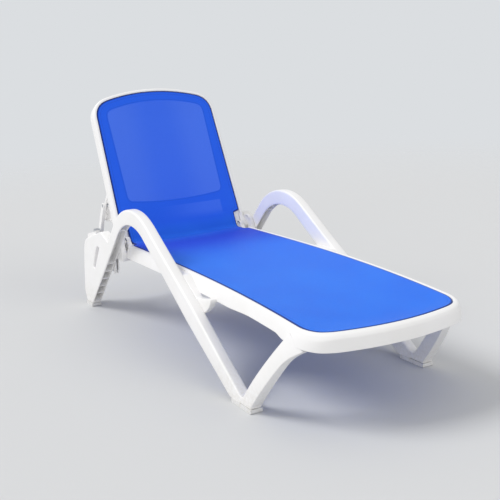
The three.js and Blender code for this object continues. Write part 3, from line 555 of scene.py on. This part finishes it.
def seat_frame():
    """The rails and the foot apron as one moulding: the section is carried along the plan and turns from the
    rail's into the apron's round the corners, and its lower edge rises at the waist."""
    sides = np.concatenate([
        np.linspace(RAIL_END, WAIST["end"] + BEHIND_WAIST, REAR_ROWS),
        np.linspace(WAIST["end"], SEAT_CORNER_RUN + FROM_CORNER, SIDE_ROWS),
    ])
    across, along, turn = bowed_end(SEAT_HALF, SEAT_BOW, SEAT_CORNER_RUN, SEAT_CORNER_SPAN)
    across = np.concatenate([np.full_like(sides, SEAT_HALF), across])
    along = np.concatenate([sides, along])
    turn = np.concatenate([np.zeros_like(sides), turn])
    x, station, turn, nx, ny = both_halves(across, along, turn)
    share = smoothstep(turn, 0, 1)[:, None, None]
    profile = RAIL_PROFILE * (1 - share) + APRON_PROFILE * share
    rise = WAIST["rise"] * (
        smoothstep(station, WAIST["start"], WAIST["full"]) - smoothstep(station, WAIST["ease"], WAIST["end"])
    )
    profile[:, LOWER_EDGE, 1] += rise[:, None]
    profile = softened(profile, RAIL_REACH + (APRON_REACH - RAIL_REACH) * share[..., 0])
    out, up = profile[..., 0], profile[..., 1]
    points = to_row(
        x[:, None] + out * nx[:, None],
        station[:, None] + out * ny[:, None],
        lip_height(station)[:, None] + up,
    )
    made = surface("seat_frame", points[::-1], WHITE, closed_round=True, ends=True)
    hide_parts("left_side_rail", "right_side_rail", "foot_apron")
    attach(made, "frame")


# ---- The backrest's frame

# The section of the backrest's frame, outwards from the sling's edge and forwards from its face.
BACK_PROFILE = np.array([
    (-44, -10), (0, -10), (0, -1.5), (1.5, 0), (8, 0), (14, -6), (14, -50), (9.5, -50), (9.5, -15), (-39, -15),
    (-39, -30), (-44, -30),
], float)
BACK_REACH = (2.0, 1.5, 1.2, 1.2, 4.0, 4.0, 1.6, 1.6, 3.0, 3.0, 1.5, 1.5)
STILE_START = 22.0  # up from the hinge
KNUCKLE_INNER, KNUCKLE_OUTER, KNUCKLE_RADIUS, KNUCKLE_EDGE = 281.0, 301.0, 15.0, 1.6
KNUCKLE_WEB = np.array([(60.0, -44.0), (60.0, -7.0), (STILE_START, 4.0)])
KNUCKLE_ROUND = (radians(96), radians(372))  # the free part of its rim
KNUCKLE_FLUTED = (radians(235), radians(100))  # the middle and the half width of its fluted part
KNUCKLE_FLUTES, KNUCKLE_FLUTE_DEPTH, FLUTE_SHARPNESS = 36, 0.05, 8
KNUCKLE_POINTS, KNUCKLE_STEPS = 72, 4


def back_to_row(across, w, n):
    """Points of the backrest, w up it from the hinge axis and n out of its front face, as it stands."""
    station = HINGE_STATION + w * cos(RECLINE) - n * sin(RECLINE)
    return to_row(across, station, HINGE_HEIGHT + w * sin(RECLINE) + n * cos(RECLINE))


def back_frame():
    """The stiles and the arched top rail as one moulding."""
    sides = np.linspace(BACK_LENGTH - STILE_START, BACK_CORNER_RUN + FROM_CORNER, SIDE_ROWS)
    taper = BACK_TAPER / BACK_LENGTH
    across, along, turn = bowed_end(TOP_HALF, BACK_BOW, BACK_CORNER_RUN, BACK_CORNER_SPAN, taper)
    across = np.concatenate([TOP_HALF + taper * sides, across])
    along = np.concatenate([sides, along])
    turn = np.concatenate([np.zeros_like(sides), turn])
    x, along, turn, nx, ny = both_halves(across, along, turn)
    profile = softened(np.broadcast_to(BACK_PROFILE, (len(x), *BACK_PROFILE.shape)), BACK_REACH)
    out, up = profile[..., 0], profile[..., 1]
    points = back_to_row(
        x[:, None] + out * nx[:, None], BACK_LENGTH - along[:, None] - out * ny[:, None], up
    )
    made = surface("back_frame", points[::-1], WHITE, closed_round=True, ends=True)
    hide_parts("left_back_stile", "right_back_stile", "back_top_rail")
    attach(made, "backrest")
    for side, word in SIDES:
        knuckle(side, word + "_knuckle")


def fluted_circle(angle, flutes, depth, middle, half_width):
    """A circle of radius 1 with this many flutes to a turn, as deep as this share, on the part round the middle."""
    radius = 1 - depth * np.cos(angle * flutes / 2) ** FLUTE_SHARPNESS * (np.abs(angle - middle) < half_width)
    return np.stack([np.cos(angle), np.sin(angle)], -1) * radius[:, None]


def knuckle(side, name):
    """The eye that turns on the hinge pin, and the web that joins it to the stile: a circle and a web's corners in
    w and n, through the width of the knuckle, with rounded edges and a fluted rim."""
    angle = np.linspace(*KNUCKLE_ROUND, KNUCKLE_POINTS)
    circle = fluted_circle(angle, KNUCKLE_FLUTES, KNUCKLE_FLUTE_DEPTH, *KNUCKLE_FLUTED)
    outline = np.concatenate([KNUCKLE_RADIUS * circle, KNUCKLE_WEB])[::-1]
    across, inset = eased(KNUCKLE_INNER, KNUCKLE_OUTER, KNUCKLE_EDGE, KNUCKLE_STEPS)
    toward = outline - outline.mean(0)
    toward /= np.linalg.norm(toward, axis=-1, keepdims=True)
    flat = outline[None] - inset[:, None, None] * toward[None]
    points = back_to_row(side * across[:, None], flat[..., 0], flat[..., 1])
    if side > 0:
        points = points[::-1]
    made = surface(name, points, WHITE, closed_round=True, ends=True)
    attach(made, "backrest")


# ---- The sling: one cloth from the foot end, through the fold at the hinge, to the top of the backrest

RECESS, EDGE_GAP, CLOTH_THICKNESS = 1.0, 0.6, 1.5  # below the lip, from the frame, and through the cloth
SEAT_SAG, BACK_SAG, SAG_RUN, SAG_BLEND = 11.0, 8.0, 90.0, 60.0
SEAT_BORDER, BACK_BORDER = 14.0, 44.0  # stay flat at each side
ROUND_SAG = 0.65  # the share of the sag that follows a parabola; the rest rises in an S-curve
WINDOW_BORDER_TOP, WINDOW_BORDER_FOOT, WINDOW_FOOT = 45.0, 61.0, 160.0
WINDOW_BOW, WINDOW_ROUND = 24.0, 17.0
FOLD_RADIUS, NECK_HALF, NECK_RUN, NECK_EASE = 22.0, 257.0, 62.0, 10.0
EDGE_ROLL, EDGE_DROP = 3.2, 4.5  # the edge turns down over this width by this much
CLOTH_COLUMNS, EDGE_CROWDING = 97, 0.45  # columns across, and the share of their spread that crowds at the sides
END_ROWS, END_CROWDING = 22, 1.3
MIDDLE_ROWS = (70, 22, 14, 20, 30)  # to the neck, to the fold, round it, past the neck and up the backrest
SIDE_POINTS, END_POINTS = 1600, 500  # on the outline that the distance to the edge is measured from
NECK_MARGIN, BLEND_MARGIN = 4.0, 8.0
FOLD_TANGENT = FOLD_RADIUS * tan(RECLINE / 2)
FOLD_MEET = HINGE_STATION + (LIP_AT_HINGE - HINGE_HEIGHT) / tan(RECLINE)
FOLD_START = FOLD_MEET - FOLD_TANGENT
FOLD_END = FOLD_START + FOLD_RADIUS * RECLINE
BACK_START = FOLD_TANGENT + (LIP_AT_HINGE - HINGE_HEIGHT) / sin(RECLINE)  # up from the hinge to the straight part
WHOLE_RUN = FOLD_END - BACK_START + BACK_LENGTH  # from the foot end's corners to the top's


def sling_line(run, depth):
    """Station and height of a point at a run along the sling and a depth below it: level along the lip, an arc of
    the fold's radius, and straight up the backrest."""
    angle = np.clip((run - FOLD_START) / FOLD_RADIUS, 0, RECLINE)
    w = np.maximum(run - FOLD_END, 0)
    station = np.minimum(run, FOLD_START) + FOLD_RADIUS * np.sin(angle) + w * cos(RECLINE)
    height = lip_height(np.minimum(run, FOLD_START)) + FOLD_RADIUS * (1 - np.cos(angle)) + w * sin(RECLINE)
    return station + depth * np.sin(angle), height - depth * np.cos(angle)


def sling_half_width(run):
    """Half the sling's width: the seat's, the neck between the hinge brackets, and the tapering backrest's."""
    w = run - FOLD_END + BACK_START
    full = np.where(run < HINGE_STATION, SEAT_HALF, back_half_width(w)) - EDGE_GAP
    neck = smoothstep(run, HINGE_STATION - NECK_RUN - NECK_EASE, HINGE_STATION - NECK_RUN) * (
        1 - smoothstep(w, NECK_RUN, NECK_RUN + NECK_EASE)
    )
    return full + (NECK_HALF - full) * neck


def window_inside(across, w, rim):
    """How far inside the backrest's single-layer window a point is: past the border, which widens downwards, and
    past the bowed lower edge, whichever is less, with the corner between them rounded."""
    low = np.clip((w - WINDOW_FOOT) / (BACK_LENGTH - WINDOW_FOOT), 0, 1)
    beside = rim - (WINDOW_BORDER_FOOT + (WINDOW_BORDER_TOP - WINDOW_BORDER_FOOT) * low)
    above = w - WINDOW_FOOT - WINDOW_BOW * (across / BACK_FOOT_HALF) ** 2
    return WINDOW_ROUND - np.hypot(np.maximum(WINDOW_ROUND - beside, 0), np.maximum(WINDOW_ROUND - above, 0))


def between(line, count):
    """A line of points resampled to this many, evenly by number."""
    at, known = np.linspace(0, len(line) - 1, count), np.arange(len(line))
    return np.stack([np.interp(at, known, line[:, i]) for i in range(line.shape[1])], -1)


def distance_to(points, outline):
    """The distance from each point to the nearest of a dense outline's points."""
    found = [np.linalg.norm(part[:, None] - outline[None], axis=-1).min(1) for part in np.array_split(points, 40)]
    return np.concatenate(found)


def flat_cloth():
    """The sling laid flat: across and run of each point, in rows from the foot end to the top that crowd at the
    bowed ends, as the columns do at the sides."""
    even = np.linspace(-1, 1, CLOTH_COLUMNS)
    share = EDGE_CROWDING * np.sin(even * pi / 2) + (1 - EDGE_CROWDING) * even
    foot_x, foot_along, _ = bowed_end(SEAT_HALF - EDGE_GAP, SEAT_BOW - EDGE_GAP, SEAT_CORNER_RUN, SEAT_CORNER_SPAN)
    foot_run = np.interp(np.abs(share) * foot_x[0], foot_x[::-1], foot_along[::-1])
    top_x, top_along, _ = bowed_end(
        TOP_HALF - EDGE_GAP, BACK_BOW - EDGE_GAP, BACK_CORNER_RUN, BACK_CORNER_SPAN, BACK_TAPER / BACK_LENGTH
    )
    top_run = WHOLE_RUN - np.interp(np.abs(share) * top_x[0], top_x[::-1], top_along[::-1])
    foot_square, top_square = 2 * SEAT_CORNER_RUN, WHOLE_RUN - 2 * BACK_CORNER_RUN
    ease = np.linspace(0, 1, END_ROWS)[:, None] ** END_CROWDING
    first = foot_run + (foot_square - foot_run) * ease
    last = top_square + (top_run - top_square) * (1 - ease[::-1])
    beside_neck = NECK_RUN + NECK_EASE + NECK_MARGIN
    neck_start, neck_end = HINGE_STATION - beside_neck, FOLD_END - BACK_START + beside_neck
    places = (foot_square, neck_start, FOLD_START, FOLD_END, neck_end, top_square)
    middle = np.concatenate([
        np.linspace(start, end, rows)[1:] for start, end, rows in zip(places, places[1:], MIDDLE_ROWS)
    ])
    run = np.concatenate([first, np.repeat(middle[:, None], CLOTH_COLUMNS, 1), last[1:]])
    return np.stack([share * np.where(run < foot_square, foot_x[0], sling_half_width(run)), run], -1)


def sling():
    """The cloth in one piece: it hangs a little between its sides, and its edges roll down into the frame."""
    flat = flat_cloth()
    across, run = flat[..., 0], flat[..., 1]
    rows, columns = run.shape
    outline = [flat[0], flat[-1], flat[:, 0], flat[:, -1]]
    for edge in (0, -1):
        outline += [between(flat[:, edge], SIDE_POINTS), between(flat[edge], END_POINTS)]
    rim = distance_to(flat.reshape(-1, 2), np.concatenate(outline)).reshape(run.shape)
    inside = window_inside(across, run - FOLD_END + BACK_START, rim)
    on_back = smoothstep(run, FOLD_START - SAG_BLEND, FOLD_END + SAG_BLEND)
    border = SEAT_BORDER + (BACK_BORDER - SEAT_BORDER) * on_back
    hang = np.maximum(0, 1 - (across / (sling_half_width(run) - border)) ** 2)
    hang = hang * hang * (3 - 2 * hang) * (1 - ROUND_SAG) + hang * ROUND_SAG
    from_foot = run + SEAT_BOW * (1 - (across / SEAT_HALF) ** 2) - SEAT_BORDER
    from_top = WHOLE_RUN + BACK_BOW * (1 - (across / (TOP_HALF - EDGE_GAP)) ** 2) - run - BACK_BORDER
    reach = np.clip(np.minimum(from_foot, from_top) / SAG_RUN, 0, 1)
    sag = (SEAT_SAG + (BACK_SAG - SEAT_SAG) * on_back) * hang * np.sin(reach * pi / 2)
    depth = RECESS + sag + EDGE_DROP * (1 - smoothstep(rim, 0, EDGE_ROLL))
    top = to_row(across, *sling_line(run, depth))
    under = to_row(across, *sling_line(run, depth + CLOTH_THICKNESS))
    number = np.arange(rows * columns).reshape(rows, columns)
    below = number + rows * columns

    def quads(a, b, c, d):
        return np.stack([a, b, c, d], -1).reshape(-1, 4)

    faces = np.concatenate([
        quads(number[:-1, :-1], number[:-1, 1:], number[1:, 1:], number[1:, :-1]),
        quads(below[:-1, :-1], below[1:, :-1], below[1:, 1:], below[:-1, 1:]),
        quads(number[:-1, 0], number[1:, 0], below[1:, 0], below[:-1, 0]),
        quads(number[1:, -1], number[:-1, -1], below[:-1, -1], below[1:, -1]),
        quads(number[0, 1:], number[0, :-1], below[0, :-1], below[0, 1:]),
        quads(number[-1, :-1], number[-1, 1:], below[-1, 1:], below[-1, :-1]),
    ])
    vertices = np.concatenate([top.reshape(-1, 3), under.reshape(-1, 3)]) * MM
    made = mesh_piece("sling", vertices, faces.tolist(), SLING, sharp=60)
    mesh = made.data
    owner = np.zeros(len(mesh.loops), np.int32)
    mesh.loops.foreach_get("vertex_index", owner)
    unrolled = np.concatenate([flat.reshape(-1, 2)] * 2) * MM
    mesh.uv_layers.new(name="weave").data.foreach_set("uv", unrolled[owner].ravel())
    for word, distance in (("rim", rim), ("window", inside)):
        stored = mesh.attributes.new(word, "FLOAT", "POINT")
        stored.data.foreach_set("value", (np.concatenate([distance.ravel()] * 2) * MM).astype(np.float32))
    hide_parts("seat_cloth", "back_cloth")
    fold_ends = (FOLD_START - BLEND_MARGIN, FOLD_END + BLEND_MARGIN)
    place = [(to_row(0, *sling_line(at, RECESS)) * MM).tolist() for at in fold_ends]
    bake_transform(made)


# ---- Armrests and front legs

LEG_INNER, LEG_OUTER, RAIL_OUTER = 321.0, 361.0, 302.5
LEG_MIDDLE = (LEG_INNER + LEG_OUTER) / 2
PAD_TOP, FRONT_END = 14.2, 288.0  # the pad's height, and the station at which the front leg stops in the foot
FRONT_SLOPE, REAR_SLOPE, ARM_RADIUS, ARM_END = radians(32.1), radians(45), 246.0, 1394.0
FRONT_POINT, REAR_POINT = (328.0, 27.0), (1632.0, 77.5)  # on the middle lines of the front and the rear leg
LEG_STATIONS, LEG_WIDTHS = (270.0, 328.0, 640.0, 845.0, 1060.0), (54.0, 58.0, 76.0, 66.0, 62.0)
ARM_TOP_WIDTH, ARM_REAR_WIDTH = 60.0, 54.0
CHANNEL_WALL, CHANNEL_DEPTH, CLOSED_DEPTH = 5.0, 36.0, 0.4  # where the limb is hollow, and where it isn't
CHANNEL_START, CHANNEL_STEP = radians(-12), 0.004
LIMB_REACH = (9.0, 9.0, 9.0, 9.0, 1.5, 3.0, 3.0, 1.5)
PROUD = 0.12  # the limb is thicker by this on each side, so that its end covers the rear leg's
# Rows of the middle line: behind the arch, over its hollow and its closed part, and down the front leg.
BEHIND_ROWS, HOLLOW_ROWS, CLOSED_ROWS, LEG_ROWS = 6, 20, 28, 63
ARCH_ROWS = BEHIND_ROWS + HOLLOW_ROWS + CLOSED_ROWS


def limb_line():
    """The middle line of an armrest and its leg in station and height, with its slope: along the rear leg's line,
    round an arc that touches it and the front leg's line, and down the front leg's line to the foot."""
    front, rear = tan(FRONT_SLOPE), tan(REAR_SLOPE)
    meet = (REAR_POINT[1] - FRONT_POINT[1] + front * FRONT_POINT[0] + rear * REAR_POINT[0]) / (front + rear)
    touch = meet - ARM_RADIUS * tan((FRONT_SLOPE + REAR_SLOPE) / 2) * cos(FRONT_SLOPE)
    middle_station = touch + ARM_RADIUS * sin(FRONT_SLOPE)
    middle_height = FRONT_POINT[1] + front * (touch - FRONT_POINT[0]) - ARM_RADIUS * cos(FRONT_SLOPE)
    slope = np.concatenate([
        np.linspace(-REAR_SLOPE, CHANNEL_START, HOLLOW_ROWS),
        np.linspace(CHANNEL_START + CHANNEL_STEP, FRONT_SLOPE, CLOSED_ROWS),
    ])
    station = middle_station - ARM_RADIUS * np.sin(slope)
    height = middle_height + ARM_RADIUS * np.cos(slope)
    behind = np.linspace(ARM_END, station[0], BEHIND_ROWS + 1)[:-1]
    ahead = np.linspace(touch, FRONT_END, LEG_ROWS + 1)[1:]
    station = np.concatenate([behind, station, ahead])
    height = np.concatenate([
        REAR_POINT[1] - rear * (behind - REAR_POINT[0]), height, FRONT_POINT[1] + front * (ahead - FRONT_POINT[0])
    ])
    slope = np.concatenate([np.full_like(behind, -REAR_SLOPE), slope, np.full_like(ahead, FRONT_SLOPE)])
    return station, height, slope


def sections(corners, reach):
    """Each row's rounded section, as two arrays, from corners whose two numbers are arrays over the rows."""
    rounded = softened(np.array(corners).transpose(2, 0, 1), reach)
    return rounded[..., 0], rounded[..., 1]


def limb(side, name):
    """An armrest and its long front leg as one moulding: a box section with rounded edges carried along the middle
    line, hollow from underneath behind the top of the arch, and flattened on the foot pad."""
    station, height, slope = limb_line()
    rear_share = np.clip((FRONT_SLOPE - slope) / (FRONT_SLOPE + REAR_SLOPE), 0, 1)
    end_width = np.where(rear_share < 0.5, LEG_WIDTHS[-1], ARM_REAR_WIDTH)
    over_top = ARM_TOP_WIDTH + (end_width - ARM_TOP_WIDTH) * np.abs(2 * rear_share - 1)
    width = np.where(rear_share > 0, over_top, np.interp(station, LEG_STATIONS, LEG_WIDTHS)) + 2 * PROUD
    half, thick = width / 2, np.full_like(width, (LEG_OUTER - LEG_INNER) / 2 + PROUD)
    depth = np.where(slope <= CHANNEL_START, CHANNEL_DEPTH, CLOSED_DEPTH)
    inner = thick - CHANNEL_WALL
    beside, out = sections([
        (-thick, -half), (-thick, half), (thick, half), (thick, -half), (inner, -half), (inner, depth - half),
        (-inner, depth - half), (-inner, -half),
    ], LIMB_REACH)
    heights = height[:, None] + out * np.cos(slope)[:, None]
    points = to_row(
        side * (LEG_MIDDLE + beside),
        station[:, None] - out * np.sin(slope)[:, None],
        np.maximum(heights, PAD_TOP),
    )
    return surface(name, points, WHITE, closed_round=True, ends=True)


SHIN_POINTS = np.array([(LEG_MIDDLE, 245.0, 32.0), (339.0, 151.0, 150.0), (288.5, 60.0, 274.0)])  # as to_row takes
SHIN_WIDTH, SHIN_THICK_FOOT, SHIN_THICK_TOP, SHIN_FLARE, SHIN_ROWS = 50.0, 40.0, 25.0, 30.0, 40
SHIN_REACH, FLARE_SPAN = (2.5, 5.0, 5.0, 2.5), (0.62, 1.1)  # the flare grows over this share of the strut
TUCK, TUCK_WIDTH = 0.006, 12.0  # the flare's front edge curls inwards, to stay under the apron


def shin(side, name):
    """The strut from the foot up to the seat's corner: a box section on a quadratic curve that leans inwards, thins
    out towards the top and spreads forwards under the apron."""
    t = np.linspace(0, 1, SHIN_ROWS)[:, None]
    start, bend, top = SHIN_POINTS
    path = curve(t, start, bend, top)
    run = 2 * (1 - t) * (bend - start) + 2 * t * (top - bend)
    length = np.hypot(run[:, 1], run[:, 2])
    along, up = run[:, 1] / length, run[:, 2] / length
    share = t[:, 0]
    half = (SHIN_THICK_FOOT + (SHIN_THICK_TOP - SHIN_THICK_FOOT) * share**2) / 2
    front = SHIN_WIDTH / 2 + SHIN_FLARE * smoothstep(share, *FLARE_SPAN) ** 2
    rear = np.full_like(front, SHIN_WIDTH / 2)
    beside, out = sections([(-half, -front), (-half, rear), (half, rear), (half, -front)], SHIN_REACH)
    forward = np.maximum(-out - SHIN_WIDTH / 2 + TUCK_WIDTH, 0)
    points = to_row(
        side * (path[:, :1] + beside - TUCK * forward**2),
        path[:, 1:2] + out * up[:, None],
        np.maximum(path[:, 2:3] - out * along[:, None], PAD_TOP),
    )
    return surface(name, points, WHITE, closed_round=True, ends=True)


FOOT_OUTLINE = [
    (222, PAD_TOP), (341, PAD_TOP), (352, 30), (322, 44), (275, 37), (262, 50), (234, 50), (217, 32),
]
WEB_OUTLINE = [
    (534, 288), (534, 274), (552, 252), (584, 228), (700, 252), (856, 318), (856, 328), (744, 328), (640, 270),
    (596, 274),
]
LEAN_STEP = 2.0  # how far the rounded edge of a leaning face comes forward
FOOT_EDGE, FOOT_REACH, WEB_EDGE, WEB_REACH = 4.0, 5.0, 3.0, 8.0  # rounding of the faces' edges and of the corners
PLATE_STEPS, CORNER_STEPS = 6, 6


def slab(name, outline, inner, outer, side, edge, reach, lean=None, place=to_row):
    """A plate with an outline in station and height, or in the backrest's w and n: its corners are rounded over the
    reach, and its two faces' edges over a quarter circle. With a lean the inner face follows that slope instead."""
    outline = softened(np.array(outline, float), reach, CORNER_STEPS)
    run = np.roll(outline, -1, 0) - np.roll(outline, 1, 0)
    run /= np.linalg.norm(run, axis=-1, keepdims=True)
    outward = np.stack([run[:, 1], -run[:, 0]], -1)
    across, inset = eased(inner, outer, edge, PLATE_STEPS)
    flat = outline[None] - inset[:, None, None] * outward[None]
    across = np.repeat(across[:, None], len(outline), 1)
    if lean is not None:
        across[:PLATE_STEPS] = lean(flat[:PLATE_STEPS, :, 1]) + np.linspace(0, LEAN_STEP, PLATE_STEPS)[:, None]
        flat[:PLATE_STEPS] = outline
    points = place(side * across, flat[..., 0], flat[..., 1])
    return surface(name, points, WHITE, closed_round=True, ends=True)


def bar_outline(start, end, width):
    """The four corners of a straight bar between two points."""
    start, end = np.array(start, float), np.array(end, float)
    along = (end - start) / np.linalg.norm(end - start)
    beside = np.array([-along[1], along[0]]) * width / 2
    return [start + beside, start - beside, end - beside, end + beside]


ARM_RIBS = (-20, -29, -38)  # slopes, in degrees, of the arch where a rib crosses its hollow
ARM_RIB_DROP, ARM_RIB_RISE = 26.0, 12.0  # from the middle line
FROM_FACE = 4.0  # a rib or web ends this far inside the leg's face, in its wall
LUG_RIBS = (
    ((226, -30), (174, -166)), ((174, -166), (158, -166)), ((158, -166), (120, -72)), ((206, -40), (166, -150)),
    ((214, -78), (140, -52)), ((196, -122), (136, -100)),
)
LUG_FACE, LUG_LAP, RIB_HEIGHT = 291.9, 1.5, 4.0  # the lug's outer face, and a rib's depth into it and out of it
RIB_WIDTH, RIB_EDGE, ARM_RIB_REACH, LUG_RIB_REACH = 4.5, 1.0, 1.0, 1.5


def ribs():
    """The cross ribs in each armrest's hollow, and the raised ribs on each prop lug's outer face."""
    station, height, slope = limb_line()
    for side, word in SIDES:
        for number, degrees in enumerate(ARM_RIBS):
            at = radians(degrees)
            middle = np.array([np.interp(at, slope[:ARCH_ROWS], values[:ARCH_ROWS]) for values in (station, height)])
            outward = np.array([-sin(at), cos(at)])
            bar = bar_outline(middle - outward * ARM_RIB_DROP, middle + outward * ARM_RIB_RISE, RIB_WIDTH)
            inner, outer = LEG_INNER + FROM_FACE, LEG_OUTER - FROM_FACE
            made = slab(f"{word}_arm_rib_{number}", bar, inner, outer, side, RIB_EDGE, ARM_RIB_REACH)
            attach(made, "frame")
        for number, (start, end) in enumerate(LUG_RIBS):
            bar, inner, outer = bar_outline(start, end, RIB_WIDTH), LUG_FACE - LUG_LAP, LUG_FACE + RIB_HEIGHT
            made = slab(
                f"{word}_lug_rib_{number}", bar, inner, outer, side, RIB_EDGE, LUG_RIB_REACH, place=back_to_row
            )
            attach(made, "backrest")


def side_frames():
    """Both armrests with their legs, struts, feet and the webs that join them to the rails."""
    for side, word in SIDES:
        pieces = [
            limb(side, word + "_armrest_and_leg"),
            shin(side, word + "_front_strut"),
            slab(word + "_front_foot", FOOT_OUTLINE, LEG_INNER, LEG_OUTER, side, FOOT_EDGE, FOOT_REACH),
            slab(
                word + "_rail_web", WEB_OUTLINE, RAIL_OUTER, LEG_INNER + FROM_FACE,
                side, WEB_EDGE, WEB_REACH, rail_wall,
            ),
        ]
        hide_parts(word + "_armrest", word + "_front_leg")
        for piece in pieces:
            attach(piece, "frame")


BRACKET_FLUTES, BRACKET_FLUTE_DEPTH = 44, 0.055  # to a whole turn, and the depth as a share of the radius
BRACKET_ROUND, BRACKET_POINTS = (radians(-50), radians(168)), 150
BRACKET_FLUTED = (radians(105), radians(55))  # the middle and the half width of the fluted part
BRACKET_EDGE, BRACKET_REACH = 2.5, 4.0
BRACKET_BASE, BRACKET_TOP = (1345.3, 1409.0, 262.0), 298.0  # its front, rear and foot
BRACKET_PLATES = (("inner", 262.0, 280.5, 20.0), ("outer", 301.5, 320.7, 44.0))  # from, to and radius of each cheek
BASE_INSET, BASE_SHORT = 0.8, 1.0  # keep the base's faces off the cheeks'


def hinge_brackets():
    """Each hinge's fork: two cheeks round the pin and the base that joins them to the end of the rail."""
    angle = np.linspace(*BRACKET_ROUND, BRACKET_POINTS)
    circle = fluted_circle(angle, BRACKET_FLUTES, BRACKET_FLUTE_DEPTH, *BRACKET_FLUTED)
    front, rear, low = BRACKET_BASE
    front_in, rear_in, low_in = front + BASE_INSET, rear - BASE_INSET, low + BASE_INSET
    base = [(front_in, low_in), (rear_in, low_in), (rear_in, BRACKET_TOP), (front_in, BRACKET_TOP)]
    for side, word in SIDES:
        pieces = []
        for part, inner, outer, radius in BRACKET_PLATES:
            eye = np.array([HINGE_STATION, HINGE_HEIGHT]) + radius * circle
            outline = np.concatenate([[(front, low), (rear, low)], eye, [(front, BRACKET_TOP)]])
            pieces.append(slab(f"{word}_{part}_cheek", outline, inner, outer, side, BRACKET_EDGE, BRACKET_REACH))
        inner, outer = BRACKET_PLATES[0][1] + BASE_SHORT, BRACKET_PLATES[1][2] - BASE_SHORT
        pieces.append(slab(word + "_bracket_base", base, inner, outer, side, BRACKET_EDGE, BRACKET_REACH))
        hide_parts(word + "_hinge_bracket")
        for piece in pieces:
            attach(piece, "frame")


WALL_HALF = 2.5  # of the rail's wall


def rail_wall(height):
    """How far across the middle of the rail's outer wall is at a height, from its top edge down to its foot."""
    (top_out, top_up), (foot_out, foot_up) = RAIL_PROFILE[4], RAIL_PROFILE[6]
    slope = (foot_out - top_out) / (top_up - foot_up)
    return SEAT_HALF + top_out + (LIP_AT_WEB + top_up - height) * slope - WALL_HALF


# ---- Pieces carried over from the solids, with their edges eased

WELD_WITHIN, CREASE, BEVEL_ROUNDS = 0.00002, radians(30), 3
LEG_EDGE, PIN_EDGE, PLAIN_EDGE = 3.4, 1.2, 1.4


def carried_over():
    """Gives each solid that stays its finish, smooth shading, and modifiers that weld it and round its edges."""
    for name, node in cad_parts.items():
        if node.hide_render:
            continue
        finish, edge = finish_and_edge(name)
        for place in node.material_slots:
            place.link = "OBJECT"
            place.material = finish
        weld = node.modifiers.new("weld", "WELD")
        weld.merge_threshold = WELD_WITHIN
        bevel = node.modifiers.new("eased_edges", "BEVEL")
        bevel.width, bevel.segments = edge * MM, BEVEL_ROUNDS
        bevel.limit_method, bevel.angle_limit = "ANGLE", CREASE
        shade = node.modifiers.new("shade", "WEIGHTED_NORMAL")
        shade.keep_sharp = False
        node.data.shade_smooth()
        node.data.set_sharp_from_angle(angle=pi)


def finish_and_edge(name):
    """What a solid is made of, and the rounding of its edges in millimetres."""
    if "pin" in name or "rod" in name:
        return STEEL, PIN_EDGE
    if "foot_pad" in name or "strip" in name:
        return GREY, PLAIN_EDGE
    return WHITE, LEG_EDGE if "leg" in name else PLAIN_EDGE


seat_frame()
back_frame()
side_frames()
hinge_brackets()
ribs()
sling()
carried_over()
light_the_studio()
lay_the_floor()
